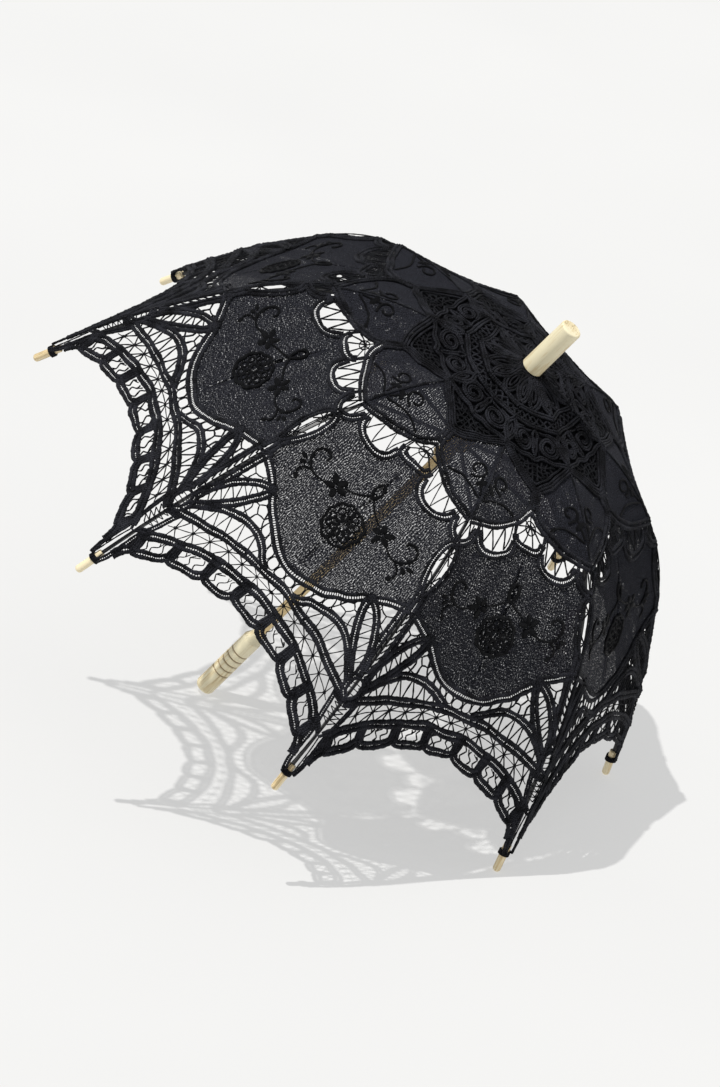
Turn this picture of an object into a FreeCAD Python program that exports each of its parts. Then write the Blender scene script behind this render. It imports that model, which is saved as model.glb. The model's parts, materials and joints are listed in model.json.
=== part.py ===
"""A lace parasol on a turned wooden stick, modelled open and leaning on the ground.

Every piece is first described in the parasol's own frame: the shaft runs along +Z, and z = 0 is
the apex of the canopy, where the ferrule stands on the lace. The whole parasol then leans towards
-Y until the end of its handle and the tips of its two front ribs all touch the plane z = 0.
Lengths are in millimetres and angles in degrees.
"""
import FreeCAD, Part
import math
import os

import Sketcher

Vector = FreeCAD.Vector
Rotation = FreeCAD.Rotation
Placement = FreeCAD.Placement

RIBS = 8
RIB_STEP = 360.0 / RIBS

# The driving dimensions: alias, value, what it is.
DIMENSIONS = [
    ("shaft_radius", 6.0, "radius of the wooden shaft"),
    ("shaft_top", 32.0, "height of the shaft's tenon inside the ferrule"),
    ("shaft_bottom", 540.0, "depth of the shaft's lower end inside the handle"),
    ("ferrule_radius", 12.2, "radius of the turned ferrule"),
    ("ferrule_base", 1.0, "depth of the ferrule's foot below the apex"),
    ("ferrule_length", 68.0, "length of the ferrule"),
    ("ferrule_round", 1.6, "rounding of the ferrule's edges"),
    ("handle_radius", 11.3, "radius of the turned handle"),
    ("handle_end", 580.0, "depth of the handle's end below the apex"),
    ("handle_length", 102.0, "length of the handle"),
    ("handle_neck", 12.0, "length of the tapered neck at the top of the handle"),
    ("neck_waist", 1.8, "wood round the shaft two thirds of the way up the neck"),
    ("neck_end", 0.7, "wood round the shaft at the end of the neck"),
    ("handle_round", 4.0, "rounding of the handle's end"),
    ("groove_first", 33.0, "distance of the first turned groove from the handle's end"),
    ("groove_step", 8.8, "distance between turned grooves"),
    ("groove_depth", 1.2, "depth of a turned groove"),
    ("groove_half", 1.6, "half the width of a turned groove"),
    ("hub_radius", 16.0, "outer radius of the crown and of the runner's head"),
    ("hub_slot_floor", 10.4, "radius where a hub's slots begin"),
    ("hub_slot_width", 3.4, "width of a hub's slots"),
    ("hub_chamfer", 0.8, "chamfer on a hub's upper edge"),
    ("hub_foot_chamfer", 1.0, "chamfer under a hub's head"),
    ("hinge_radius", 13.0, "radius of the ring of rib hinges, and of the stretchers' feet"),
    ("hinge_depth", 9.5, "depth of the rib hinges below the apex"),
    ("crown_top", 5.4, "depth of the crown's top face"),
    ("crown_height", 14.0, "height of the crown"),
    ("crown_sleeve", 8.0, "height of the narrow sleeve under the crown"),
    ("sleeve_radius", 9.4, "radius of the narrow sleeves"),
    ("wire_radius", 0.6, "radius of the hinge wire and of the hinge pins"),
    ("wire_hole", 0.75, "radius of the hole that turns on the hinge wire"),
    ("pin_hole", 0.68, "radius of the hole that turns on a hinge pin"),
    ("wire_groove", 1.7, "width of the groove for the hinge wire"),
    ("canopy_slope", 12.7, "slope of the canopy's flat top along a rib"),
    ("canopy_start_radius", 12.0, "radius where the canopy's slope is measured from"),
    ("canopy_start_depth", 2.5, "depth of the canopy at that radius"),
    ("canopy_straight", 131.0, "radius where the canopy begins to bend"),
    ("canopy_bend", 258.0, "bend radius of the canopy's shoulder"),
    ("canopy_shoulder", 54.5, "slope of the canopy below its shoulder"),
    ("canopy_skirt", 992.0, "bend radius of the canopy's skirt"),
    ("canopy_thickness", 1.0, "thickness of the lace"),
    ("canopy_hole", 7.0, "radius of the hole round the shaft"),
    ("canopy_half_angle", 22.4, "half the angle of a gore, just short of its neighbours"),
    ("edge_at_rib", 0.965, "where the lace ends along a rib, as a part of the tip's distance"),
    ("edge_at_middle", 0.845, "where the lace ends between two ribs, the same way"),
    ("edge_power", 2.5, "how fast the scalloped edge runs out towards the rib"),
    ("tip_radius", 400.0, "radius of the rib tips, half the open width"),
    ("rib_below", 5.9, "depth of a rib's middle line below the face of the lace"),
    ("rib_width", 3.0, "width of a rib, a steel channel open below"),
    ("rib_height", 3.4, "height of a rib"),
    ("rib_wall", 0.5, "thickness of a rib's walls"),
    ("tenon_radius", 1.2, "radius of the tenon on a rib's end"),
    ("tenon_length", 11.0, "length of that tenon beyond the channel"),
    ("tenon_root", 6.0, "length of that tenon inside the channel"),
    ("peg_radius", 4.4, "radius of the wooden peg on a rib's tip"),
    ("peg_length", 34.0, "length of that peg"),
    ("peg_end_round", 3.6, "rounding of its outer end"),
    ("peg_foot_round", 1.2, "rounding of its inner end"),
    ("socket_radius", 1.3, "radius of its socket for the rib's tenon"),
    ("socket_depth", 12.0, "depth of that socket"),
    ("joint_radius", 205.0, "radius of the joint between rib and stretcher"),
    ("joint_pin_length", 6.6, "length of the pin through that joint"),
    ("stretcher_width", 3.0, "width of a stretcher"),
    ("stretcher_height", 3.0, "height of a stretcher"),
    ("fork_length", 14.0, "length of the fork on a stretcher's head"),
    ("fork_depth", 8.0, "depth of the fork's gap, from the joint"),
    ("fork_gap", 3.6, "width of the fork's gap"),
    ("fork_wall", 1.05, "thickness of the fork's cheeks"),
    ("strut_groove_width", 2.0, "width of the groove under a stretcher"),
    ("strut_groove_depth", 2.3, "depth of that groove"),
    ("strut_groove_end", 12.0, "distance of the groove's ends from the foot and the fork"),
    ("foot_pin_length", 5.4, "length of the pin through a stretcher's foot"),
    ("foot_channel_width", 6.0, "width of the runner's channel for that pin"),
    ("foot_channel_depth", 2.2, "radial size of that channel"),
    ("runner_bore", 6.3, "bore of the runner"),
    ("runner_above", 9.0, "height of the runner's head above the stretchers' feet"),
    ("runner_head", 19.0, "height of the runner's head"),
    ("runner_sleeve", 24.0, "height of the runner's finger sleeve"),
    ("runner_rim", 2.0, "how far the rim at the runner's foot stands out"),
    ("runner_rim_height", 5.0, "height of that rim and its chamfers"),
    ("stop_pin_gap", 0.4, "gap between the stop pin and the open runner"),
    ("stop_pin_radius", 1.0, "radius of the stop pin through the shaft"),
    ("stop_pin_length", 19.0, "length of the stop pin"),
    ("catch_gap", 0.6, "gap between the runner's sleeve and the catch that holds it up"),
    ("catch_length", 30.0, "length of the spring catch"),
    ("catch_width", 2.0, "width of the spring catch"),
    ("catch_gauge", 0.9, "thickness of the spring catch"),
    ("catch_proud", 2.6, "how far the catch stands out of the shaft"),
    ("catch_slot_width", 2.6, "width of the catch's slot in the shaft"),
    ("catch_slot_depth", 5.0, "depth of the catch's slot in the shaft"),
    ("catch_slot_spare", 1.0, "spare length of that slot beyond each end of the catch"),
    ("lean_angle", 31.175, "angle between the leaning shaft and the vertical"),
]

document = FreeCAD.newDocument("lace_parasol")
sheet = document.addObject("Spreadsheet::Sheet", "Sizes")
for row, (alias, value, note) in enumerate(DIMENSIONS, start=1):
    sheet.set("A%d" % row, note)
    sheet.set("B%d" % row, str(value))
    sheet.setAlias("B%d" % row, alias)
document.recompute()


def size(alias):
    """The value of one driving dimension."""
    return float(sheet.get(alias))


def sine(degrees):
    return math.sin(math.radians(degrees))


def cosine(degrees):
    return math.cos(math.radians(degrees))


# ---------------------------------------------------------------------------------------------
# The lines that the canopy and the ribs follow, in the half plane (radius, height) of one rib.

class RibLine:
    """A straight run, a shoulder arc and a flatter skirt arc, tangent to each other."""

    def __init__(self, start, slope, straight_end, bend, shoulder, skirt):
        self.start = start
        self.slope = slope
        self.straight_end = straight_end
        self.bend = bend
        self.shoulder = shoulder
        self.skirt = skirt
        self.bend_centre = straight_end + Vector(-sine(slope), 0, -cosine(slope)) * bend
        self.bend_end = self.on_arc(self.bend_centre, bend, shoulder)
        self.skirt_centre = self.on_arc(self.bend_centre, bend - skirt, shoulder)

    @staticmethod
    def on_arc(centre, radius, slope):
        return centre + Vector(sine(slope), 0, cosine(slope)) * radius

    def on_skirt(self, slope):
        return self.on_arc(self.skirt_centre, self.skirt, slope)

    def slope_at_radius(self, radius):
        """The skirt's slope where it reaches a radius from the shaft."""
        return math.degrees(math.asin((radius - self.skirt_centre.x) / self.skirt))

    def length_to_skirt(self):
        run = (self.straight_end - self.start).Length
        return run + self.bend * math.radians(self.shoulder - self.slope)

    def slope_at_length(self, length):
        """The skirt's slope at a distance along the line from its start."""
        return self.shoulder + math.degrees((length - self.length_to_skirt()) / self.skirt)

    def edges(self, end_slope):
        """The line as one straight edge and two arcs."""
        shoulder_middle = self.on_arc(self.bend_centre, self.bend, (self.slope + self.shoulder) / 2)
        skirt_middle = self.on_skirt((self.shoulder + end_slope) / 2)
        skirt_end = self.on_skirt(end_slope)
        return [
            Part.LineSegment(self.start, self.straight_end).toShape(),
            Part.Arc(self.straight_end, shoulder_middle, self.bend_end).toShape(),
            Part.Arc(self.bend_end, skirt_middle, skirt_end).toShape(),
        ]


def canopy_line(below):
    """The canopy's line along a rib, at a depth below its outer face."""
    slope = size("canopy_slope")
    fall = sine(slope) / cosine(slope)
    inward = Vector(-sine(slope), 0, -cosine(slope)) * below
    start_radius = size("canopy_hole")
    start_depth = size("canopy_start_depth") - (size("canopy_start_radius") - start_radius) * fall
    bend_depth = size("canopy_start_depth")
    bend_depth += (size("canopy_straight") - size("canopy_start_radius")) * fall
    start = Vector(start_radius, 0, -start_depth) + inward
    straight_end = Vector(size("canopy_straight"), 0, -bend_depth) + inward
    bend = size("canopy_bend") - below
    return RibLine(start, slope, straight_end, bend, size("canopy_shoulder"),
                   size("canopy_skirt") - below)


HINGE = Vector(size("hinge_radius"), 0, -size("hinge_depth"))


def rib_line():
    """A rib's middle line: from its hinge, tangent to the shoulder it shares with the canopy."""
    shared = canopy_line(size("rib_below"))
    to_centre = shared.bend_centre - HINGE
    distance = to_centre.Length
    reach = math.sqrt(distance ** 2 - shared.bend ** 2)
    dip = math.degrees(math.atan2(-to_centre.z, to_centre.x))
    slope = dip - math.degrees(math.asin(shared.bend / distance))
    straight_end = HINGE + Vector(cosine(slope), 0, -sine(slope)) * reach
    return RibLine(HINGE, slope, straight_end, shared.bend, shared.shoulder, shared.skirt)


RIB = rib_line()
RIB_TIP_SLOPE = RIB.slope_at_radius(size("tip_radius"))
# The steel rib ends where its wooden peg begins.
RIB_END_SLOPE = RIB_TIP_SLOPE - math.degrees(size("peg_length") / RIB.skirt)
RIB_END = RIB.on_skirt(RIB_END_SLOPE)
# The joint with the stretcher lies on the rib's shoulder arc.
JOINT_SLOPE = math.degrees(math.asin((size("joint_radius") - RIB.bend_centre.x) / RIB.bend))
JOINT = RIB.on_arc(RIB.bend_centre, RIB.bend, JOINT_SLOPE)
# The stretcher is as long as the line from hinge to joint, so its foot stays under the hinge.
FOOT = Vector(HINGE.x, 0, 2 * JOINT.z - HINGE.z)
STRETCHER_LENGTH = (JOINT - FOOT).Length
STRETCHER_SLOPE = math.degrees(math.atan2(JOINT.z - FOOT.z, JOINT.x - FOOT.x))


# ---------------------------------------------------------------------------------------------
# Where pieces go: in the parasol's own frame, then leaning on the ground.

def azimuth_of(number):
    """Direction of a rib, counted from +X; ribs 6 and 7 are the two front ones."""
    return RIB_STEP * (number - 0.5)


def own_frame(azimuth=0.0, offset=Vector(0, 0, 0), dip=0.0):
    """A frame at an offset in a rib's plane, its X axis dipping below the horizontal."""
    turned = Placement(Vector(0, 0, 0), Rotation(Vector(0, 0, 1), azimuth))
    dipped = Placement(offset, Rotation(Vector(0, 1, 0), dip))
    return turned.multiply(dipped)


placed_pieces = []


def place(piece, frame):
    """Notes a piece with its place in the parasol's own frame; lean_all sets the final one."""
    placed_pieces.append((piece, frame))
    return piece


def lean_all():
    """Leans the whole parasol and stands it on z = 0, centred on the origin."""
    lean = Placement(Vector(0, 0, 0), Rotation(Vector(1, 0, 0), size("lean_angle")))
    box = FreeCAD.BoundBox()
    for piece, frame in placed_pieces:
        piece.Placement = lean.multiply(frame)
        points = piece.Shape.tessellate(0.1)[0]
        for point in points:
            box.add(point)
    shift = Placement(Vector(-box.Center.x, -box.Center.y, -box.ZMin), Rotation())
    for piece, frame in placed_pieces:
        piece.Placement = shift.multiply(lean).multiply(frame)
    return shift, lean


# ---------------------------------------------------------------------------------------------
# Sketches and features.

def new_body(label):
    body = document.addObject("PartDesign::Body", label)
    body.Label = label
    return body


def sketch_on(body, role, name):
    """A sketch attached to one of the body's own origin planes."""
    sketch = body.newObject("Sketcher::SketchObject", name)
    plane = [feature for feature in body.Origin.OriginFeatures if feature.Role == role][0]
    sketch.AttachmentSupport = (plane, [""])
    sketch.MapMode = "FlatFace"
    return sketch


def bind(sketch, constraint, formula):
    """Adds a constraint whose value follows the sheet."""
    index = sketch.addConstraint(constraint)
    sketch.setExpression("Constraints[%d]" % index, formula)


def outline(sketch, corners):
    """A closed outline of straight lines; each corner is a pair of formulas on the sheet."""
    formulas = [(x.replace("@", "Sizes."), y.replace("@", "Sizes.")) for x, y in corners]
    points = []
    for x, y in formulas:
        points.append(Vector(float(sketch.evalExpression(x)), float(sketch.evalExpression(y)), 0))
    first = sketch.GeometryCount
    total = len(points)
    for i in range(total):
        sketch.addGeometry(Part.LineSegment(points[i], points[(i + 1) % total]), False)
    for i in range(total):
        following = first + (i + 1) % total
        sketch.addConstraint(Sketcher.Constraint("Coincident", first + i, 2, following, 1))
    for i, (x, y) in enumerate(formulas):
        line = first + i
        bind(sketch, Sketcher.Constraint("DistanceX", -1, 1, line, 1, points[i].x), x)
        bind(sketch, Sketcher.Constraint("DistanceY", -1, 1, line, 1, points[i].y), y)


def circle(sketch, x, y, radius):
    """A circle; centre and radius are formulas on the sheet or plain numbers."""
    values = []
    for formula in (x, y, radius):
        values.append(str(formula).replace("@", "Sizes."))
    numbers = [float(sketch.evalExpression(value)) for value in values]
    index = sketch.GeometryCount
    centre = Vector(numbers[0], numbers[1], 0)
    sketch.addGeometry(Part.Circle(centre, Vector(0, 0, 1), numbers[2]), False)
    bind(sketch, Sketcher.Constraint("DistanceX", -1, 1, index, 3, numbers[0]), values[0])
    bind(sketch, Sketcher.Constraint("DistanceY", -1, 1, index, 3, numbers[1]), values[1])
    bind(sketch, Sketcher.Constraint("Radius", index, numbers[2]), values[2])


def revolve(body, sketch):
    """Turns an outline of the XZ plane round the body's Z axis."""
    feature = body.newObject("PartDesign::Revolution", "Turned")
    feature.Profile = sketch
    feature.ReferenceAxis = (sketch, ["V_Axis"])
    feature.Angle = 360.0
    sketch.Visibility = False
    return feature


def pad(body, sketch, length):
    """A pad of a formula's length, half to each side of the sketch."""
    feature = body.newObject("PartDesign::Pad", "Pad")
    feature.Profile = sketch
    feature.setExpression("Length", length.replace("@", "Sizes."))
    feature.Midplane = True
    return feature


def pocket(body, sketch, width=None):
    """A pocket to both sides, through everything or of one width; it has to take material away."""
    document.recompute()
    before = body.Shape.Volume
    feature = body.newObject("PartDesign::Pocket", "Pocket")
    feature.Profile = sketch
    if width is None:
        feature.Type = "ThroughAll"
    else:
        feature.setExpression("Length", width.replace("@", "Sizes."))
    feature.Midplane = True
    document.recompute()
    if not body.Shape.Volume < before - 1e-3:
        raise RuntimeError("%s: %s cuts nothing" % (body.Label, sketch.Name))
    return feature


def cylinder(label, radius, length):
    """A pin or rod along its own Z axis, centred there by its placement."""
    rod = document.addObject("Part::Cylinder", label)
    rod.Label = label
    rod.setExpression("Radius", radius.replace("@", "Sizes."))
    rod.setExpression("Height", length.replace("@", "Sizes."))
    return rod


def round_edges(body, radius, wanted):
    """A fillet on the edges of the body that a test picks."""
    document.recompute()
    names = []
    for index, edge in enumerate(body.Shape.Edges, start=1):
        if wanted(edge):
            names.append("Edge%d" % index)
    unrounded = body.Tip
    feature = body.newObject("PartDesign::Fillet", "Round")
    feature.Base = (unrounded, names)
    feature.setExpression("Radius", radius.replace("@", "Sizes."))
    document.recompute()
    if "Invalid" in feature.State:
        raise RuntimeError("%s: rounding %s failed" % (body.Label, names))
    return feature


def polar_cut(body, feature, count):
    """Repeats a pocket round the body's Z axis."""
    pattern = body.newObject("PartDesign::PolarPattern", "Ring")
    pattern.Originals = [feature]
    axis = [item for item in body.Origin.OriginFeatures if item.Role == "Z_Axis"][0]
    pattern.Axis = (axis, [""])
    pattern.Angle = 360.0
    pattern.Occurrences = count
    before = body.Shape.Volume
    body.Tip = pattern
    document.recompute()
    if not body.Shape.Volume < before - 1e-3:
        raise RuntimeError("%s: the ring of cuts is missing" % body.Label)
    return pattern


# ---------------------------------------------------------------------------------------------
# The stick: shaft, ferrule, handle, catch and stop pin.

def make_shaft():
    """A dowel with a cross hole for the stop pin and a slot for the spring catch."""
    dowel = document.addObject("Part::Cylinder", "shaft_dowel")
    dowel.setExpression("Radius", "Sizes.shaft_radius")
    dowel.setExpression("Height", "Sizes.shaft_top + Sizes.shaft_bottom")
    dowel.setExpression("Placement.Base.z", "-Sizes.shaft_bottom")
    hole = cylinder("shaft_pin_hole", "@stop_pin_radius", "@stop_pin_length")
    hole.Placement = stop_pin_frame()
    slot = document.addObject("Part::Box", "shaft_catch_slot")
    slot.setExpression("Length", "Sizes.catch_slot_width")
    slot.setExpression("Width", "Sizes.catch_slot_depth + 1")
    slot.setExpression("Height", "Sizes.catch_length + 2 * Sizes.catch_slot_spare")
    slot.setExpression("Placement.Base.x", "-Sizes.catch_slot_width / 2")
    slot.setExpression("Placement.Base.y", "Sizes.shaft_radius - Sizes.catch_slot_depth")
    slot.Placement.Base.z = CATCH_TOP - size("catch_length") - size("catch_slot_spare")
    drilled = document.addObject("Part::Cut", "shaft_drilled")
    drilled.Base = dowel
    drilled.Tool = hole
    shaft = document.addObject("Part::Cut", "shaft")
    shaft.Label = "shaft"
    shaft.Base = drilled
    shaft.Tool = slot
    return place(shaft, own_frame())


RUNNER_TOP = FOOT.z + size("runner_above")
RUNNER_BOTTOM = RUNNER_TOP - size("runner_head") - size("runner_sleeve")
CATCH_TOP = RUNNER_BOTTOM - size("catch_gap")


def stop_pin_frame():
    """Across the shaft, just above the open runner, between the slots of two ribs."""
    height = RUNNER_TOP + size("stop_pin_radius") + size("stop_pin_gap")
    across = Rotation(Vector(0, 1, 0), 90)
    start = Vector(-size("stop_pin_length") / 2, 0, height)
    return Placement(start, across)


def make_stop_pin():
    pin = cylinder("stop_pin", "@stop_pin_radius", "@stop_pin_length")
    return place(pin, stop_pin_frame())


def make_catch():
    """A bent spring leaf in the shaft's slot; its flat top holds the runner up."""
    body = new_body("catch_spring")
    sketch = sketch_on(body, "YZ_Plane", "catch_side")
    gauge = "@catch_gauge"
    back = "@shaft_radius - @catch_slot_depth"
    nose = "@shaft_radius + @catch_proud"
    outline(sketch, [
        (back, "-@catch_length"),
        (back + " + " + gauge, "-@catch_length"),
        (nose, "-@catch_length / 4"),
        (nose, "0"),
        ("@shaft_radius - 2 * " + gauge, "0"),
        ("@shaft_radius - 2 * " + gauge, "-" + gauge),
        (nose + " - " + gauge, "-" + gauge),
        (nose + " - " + gauge, "-@catch_length / 4 - " + gauge + " / 3"),
        (back, "-@catch_length + 3 * " + gauge),
    ])
    pad(body, sketch, "@catch_width")
    return place(body, own_frame(offset=Vector(0, 0, CATCH_TOP)))


def make_ferrule():
    """A turned wooden tip with a blind bore for the shaft's tenon."""
    body = new_body("ferrule")
    sketch = sketch_on(body, "XZ_Plane", "ferrule_side")
    foot = "-@ferrule_base"
    top = "@ferrule_length - @ferrule_base"
    outline(sketch, [
        ("@shaft_radius", foot),
        ("@ferrule_radius - @ferrule_round / 2", foot),
        ("@ferrule_radius", foot + " + @ferrule_round / 2"),
        ("@ferrule_radius", top + " - @ferrule_round"),
        ("@ferrule_radius - @ferrule_round / 3", top + " - @ferrule_round / 3"),
        ("@ferrule_radius - @ferrule_round", top),
        ("0", top),
        ("0", "@shaft_top"),
        ("@shaft_radius", "@shaft_top"),
    ])
    revolve(body, sketch)
    return place(body, own_frame())


def make_handle():
    """A turned grip: rounded end, five shallow grooves and a neck that runs out to the shaft."""
    body = new_body("handle")
    sketch = sketch_on(body, "XZ_Plane", "handle_side")
    corners = [
        ("0", "0"),
        ("@handle_radius - @handle_round", "0"),
        ("@handle_radius - 0.3 * @handle_round", "0.3 * @handle_round"),
        ("@handle_radius", "@handle_round"),
    ]
    for number in range(5):
        middle = "@groove_first + %d * @groove_step" % number
        corners.append(("@handle_radius", middle + " - @groove_half"))
        corners.append(("@handle_radius - @groove_depth", middle))
        corners.append(("@handle_radius", middle + " + @groove_half"))
    corners.append(("@handle_radius", "@handle_length - @handle_neck"))
    corners.append(("@shaft_radius + @neck_waist", "@handle_length - @handle_neck / 3"))
    corners.append(("@shaft_radius + @neck_end", "@handle_length"))
    corners.append(("@shaft_radius", "@handle_length"))
    corners.append(("@shaft_radius", "@handle_end - @shaft_bottom"))
    corners.append(("0", "@handle_end - @shaft_bottom"))
    outline(sketch, corners)
    revolve(body, sketch)
    return place(body, own_frame(offset=Vector(0, 0, -size("handle_end"))))


# ---------------------------------------------------------------------------------------------
# The two hubs.

def hub_slots(body, with_channel):
    """Radial slots for the ribs or stretchers, and the channels that their foot pins slide in."""
    sketch = sketch_on(body, "XY_Plane", "slot")
    outline(sketch, [
        ("@hub_slot_floor", "-@hub_slot_width / 2"),
        ("@hub_radius + 1", "-@hub_slot_width / 2"),
        ("@hub_radius + 1", "@hub_slot_width / 2"),
        ("@hub_slot_floor", "@hub_slot_width / 2"),
    ])
    polar_cut(body, pocket(body, sketch), RIBS)
    if with_channel:
        channel = sketch_on(body, "XY_Plane", "channel")
        inner = "@hinge_radius - @foot_channel_depth / 2"
        outer = "@hinge_radius + @foot_channel_depth / 2"
        outline(channel, [
            (inner, "-@foot_channel_width / 2"),
            (outer, "-@foot_channel_width / 2"),
            (outer, "@foot_channel_width / 2"),
            (inner, "@foot_channel_width / 2"),
        ])
        polar_cut(body, pocket(body, channel), RIBS)


def make_crown():
    """The fixed hub: slots for the ribs and a groove for the wire they hang on."""
    body = new_body("crown")
    sketch = sketch_on(body, "XZ_Plane", "crown_side")
    top = "-@crown_top"
    head = "-@crown_top - @crown_height"
    foot = "-@crown_top - @crown_height - @crown_sleeve"
    inner = "@hinge_radius - @wire_groove / 2"
    above = "-@hinge_depth + @wire_groove / 2"
    below = "-@hinge_depth - @wire_groove / 2"
    outline(sketch, [
        ("@shaft_radius", top),
        ("@hub_radius - @hub_chamfer", top),
        ("@hub_radius", top + " - @hub_chamfer"),
        ("@hub_radius", above),
        (inner, above),
        (inner, below),
        ("@hub_radius", below),
        ("@hub_radius", head + " + @hub_foot_chamfer"),
        ("@hub_radius - @hub_foot_chamfer", head),
        ("@sleeve_radius", head),
        ("@sleeve_radius", foot),
        ("@shaft_radius", foot),
    ])
    revolve(body, sketch)
    hub_slots(body, False)
    # The sleeve under the head is narrower than the slots, so they leave it whole.
    turn = own_frame(azimuth_of(1))
    return place(body, turn)


def make_crown_wire():
    ring = document.addObject("Part::Torus", "crown_wire")
    ring.Label = "crown_wire"
    ring.setExpression("Radius1", "Sizes.hinge_radius")
    ring.setExpression("Radius2", "Sizes.wire_radius")
    return place(ring, own_frame(offset=Vector(0, 0, HINGE.z)))


def make_runner():
    """The sliding hub: a slotted head for the stretchers over a finger sleeve with a rim."""
    body = new_body("runner")
    sketch = sketch_on(body, "XZ_Plane", "runner_side")
    head = "-@runner_head"
    foot = "-@runner_head - @runner_sleeve"
    outline(sketch, [
        ("@runner_bore", "0"),
        ("@hub_radius - @hub_chamfer", "0"),
        ("@hub_radius", "-@hub_chamfer"),
        ("@hub_radius", head + " + @hub_foot_chamfer"),
        ("@hub_radius - @hub_foot_chamfer", head),
        ("@sleeve_radius", head),
        ("@sleeve_radius", foot + " + @runner_rim_height"),
        ("@sleeve_radius + @runner_rim", foot + " + 0.6 * @runner_rim_height"),
        ("@sleeve_radius + @runner_rim", foot + " + 0.2 * @runner_rim_height"),
        ("@sleeve_radius + @runner_rim / 2", foot),
        ("@runner_bore", foot),
    ])
    revolve(body, sketch)
    hub_slots(body, True)
    return place(body, own_frame(azimuth_of(1), Vector(0, 0, RUNNER_TOP)))


# ---------------------------------------------------------------------------------------------
# The ribs and stretchers. Each has its own frame: X along it, Y across it.

def cross_hole(body, name, x, z, radius):
    """A hole through the width of a rib or stretcher."""
    sketch = sketch_on(body, "XZ_Plane", name)
    circle(sketch, x, z, radius)
    return pocket(body, sketch)


def make_rib(number):
    """A bent steel channel, closed at its hinge, with a tenon for the wooden peg at its tip."""
    body = new_body("rib_%d" % number)
    straight = (RIB.straight_end - RIB.start).Length
    shoulder_turn = RIB.shoulder - RIB.slope
    skirt_turn = RIB_END_SLOPE - RIB.shoulder
    path = sketch_on(body, "XZ_Plane", "bow")
    local = RibLine(Vector(0, 0, 0), 0.0, Vector(straight, 0, 0), RIB.bend, shoulder_turn, RIB.skirt)
    flat = [Vector(point.x, point.z, 0) for point in
            (local.start, local.straight_end, local.bend_centre, local.skirt_centre)]
    path.addGeometry(Part.LineSegment(flat[0], flat[1]), False)
    up = Vector(0, 0, 1)
    right_angle = math.pi / 2
    bend_stop = right_angle - math.radians(shoulder_turn)
    skirt_stop = bend_stop - math.radians(skirt_turn)
    bend = Part.ArcOfCircle(Part.Circle(flat[2], up, RIB.bend), bend_stop, right_angle)
    skirt = Part.ArcOfCircle(Part.Circle(flat[3], up, RIB.skirt), skirt_stop, bend_stop)
    path.addGeometry(bend, False)
    path.addGeometry(skirt, False)
    path.addConstraint(Sketcher.Constraint("Coincident", 0, 1, -1, 1))
    path.addConstraint(Sketcher.Constraint("Horizontal", 0))
    path.addConstraint(Sketcher.Constraint("Tangent", 0, 2, 1, 2))
    path.addConstraint(Sketcher.Constraint("Tangent", 1, 1, 2, 2))
    path.addConstraint(Sketcher.Constraint("Distance", 0, straight))
    bind(path, Sketcher.Constraint("Radius", 1, RIB.bend), "Sizes.canopy_bend - Sizes.rib_below")
    bind(path, Sketcher.Constraint("Radius", 2, RIB.skirt), "Sizes.canopy_skirt - Sizes.rib_below")
    path.addConstraint(Sketcher.Constraint("Angle", 1, math.radians(shoulder_turn)))
    path.addConstraint(Sketcher.Constraint("Angle", 2, math.radians(skirt_turn)))

    section = sketch_on(body, "YZ_Plane", "channel")
    outline(section, [
        ("-@rib_width / 2", "-@rib_height / 2"),
        ("-@rib_width / 2 + @rib_wall", "-@rib_height / 2"),
        ("-@rib_width / 2 + @rib_wall", "@rib_height / 2 - @rib_wall"),
        ("@rib_width / 2 - @rib_wall", "@rib_height / 2 - @rib_wall"),
        ("@rib_width / 2 - @rib_wall", "-@rib_height / 2"),
        ("@rib_width / 2", "-@rib_height / 2"),
        ("@rib_width / 2", "@rib_height / 2"),
        ("-@rib_width / 2", "@rib_height / 2"),
    ])
    pipe = body.newObject("PartDesign::AdditivePipe", "Channel")
    pipe.Profile = section
    pipe.Spine = (path, ["Edge1", "Edge2", "Edge3"])
    nose = sketch_on(body, "XZ_Plane", "nose")
    circle(nose, "0", "0", "@rib_height / 2")
    pad(body, nose, "@rib_width")

    end_slope = RIB_END_SLOPE - RIB.slope
    along = Vector(cosine(end_slope), 0, -sine(end_slope))
    tenon = body.newObject("PartDesign::AdditiveCylinder", "Tenon")
    tenon.setExpression("Radius", "Sizes.tenon_radius")
    tenon.setExpression("Height", "Sizes.tenon_root + Sizes.tenon_length")
    root = local.on_skirt(end_slope) - along * size("tenon_root")
    tenon.Placement = Placement(root, Rotation(Vector(0, 1, 0), 90 + end_slope))

    cross_hole(body, "wire_hole", "0", "0", "@wire_hole")
    joint = rib_local(JOINT)
    cross_hole(body, "joint_hole", joint.x, joint.z, "@wire_radius")
    return place(body, own_frame(azimuth_of(number), HINGE, RIB.slope))


def make_tip(number):
    """The turned wooden peg on a rib's tip, with a socket for the rib's tenon."""
    body = new_body("tip_%d" % number)
    sketch = sketch_on(body, "XZ_Plane", "peg_side")
    outline(sketch, [
        ("@socket_radius", "0"),
        ("@peg_radius", "0"),
        ("@peg_radius", "@peg_length"),
        ("0", "@peg_length"),
        ("0", "@socket_depth"),
        ("@socket_radius", "@socket_depth"),
    ])
    revolve(body, sketch)

    def outer_rim(height):
        def wanted(edge):
            circles = hasattr(edge.Curve, "Radius") and abs(edge.Curve.Radius - size("peg_radius")) < 1e-6
            return circles and abs(edge.Curve.Center.z - height) < 1e-6
        return wanted

    round_edges(body, "@peg_end_round", outer_rim(size("peg_length")))
    round_edges(body, "@peg_foot_round", outer_rim(0.0))
    upright = Placement(Vector(0, 0, 0), Rotation(Vector(0, 1, 0), 90))
    return place(body, own_frame(azimuth_of(number), RIB_END, RIB_END_SLOPE).multiply(upright))


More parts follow.
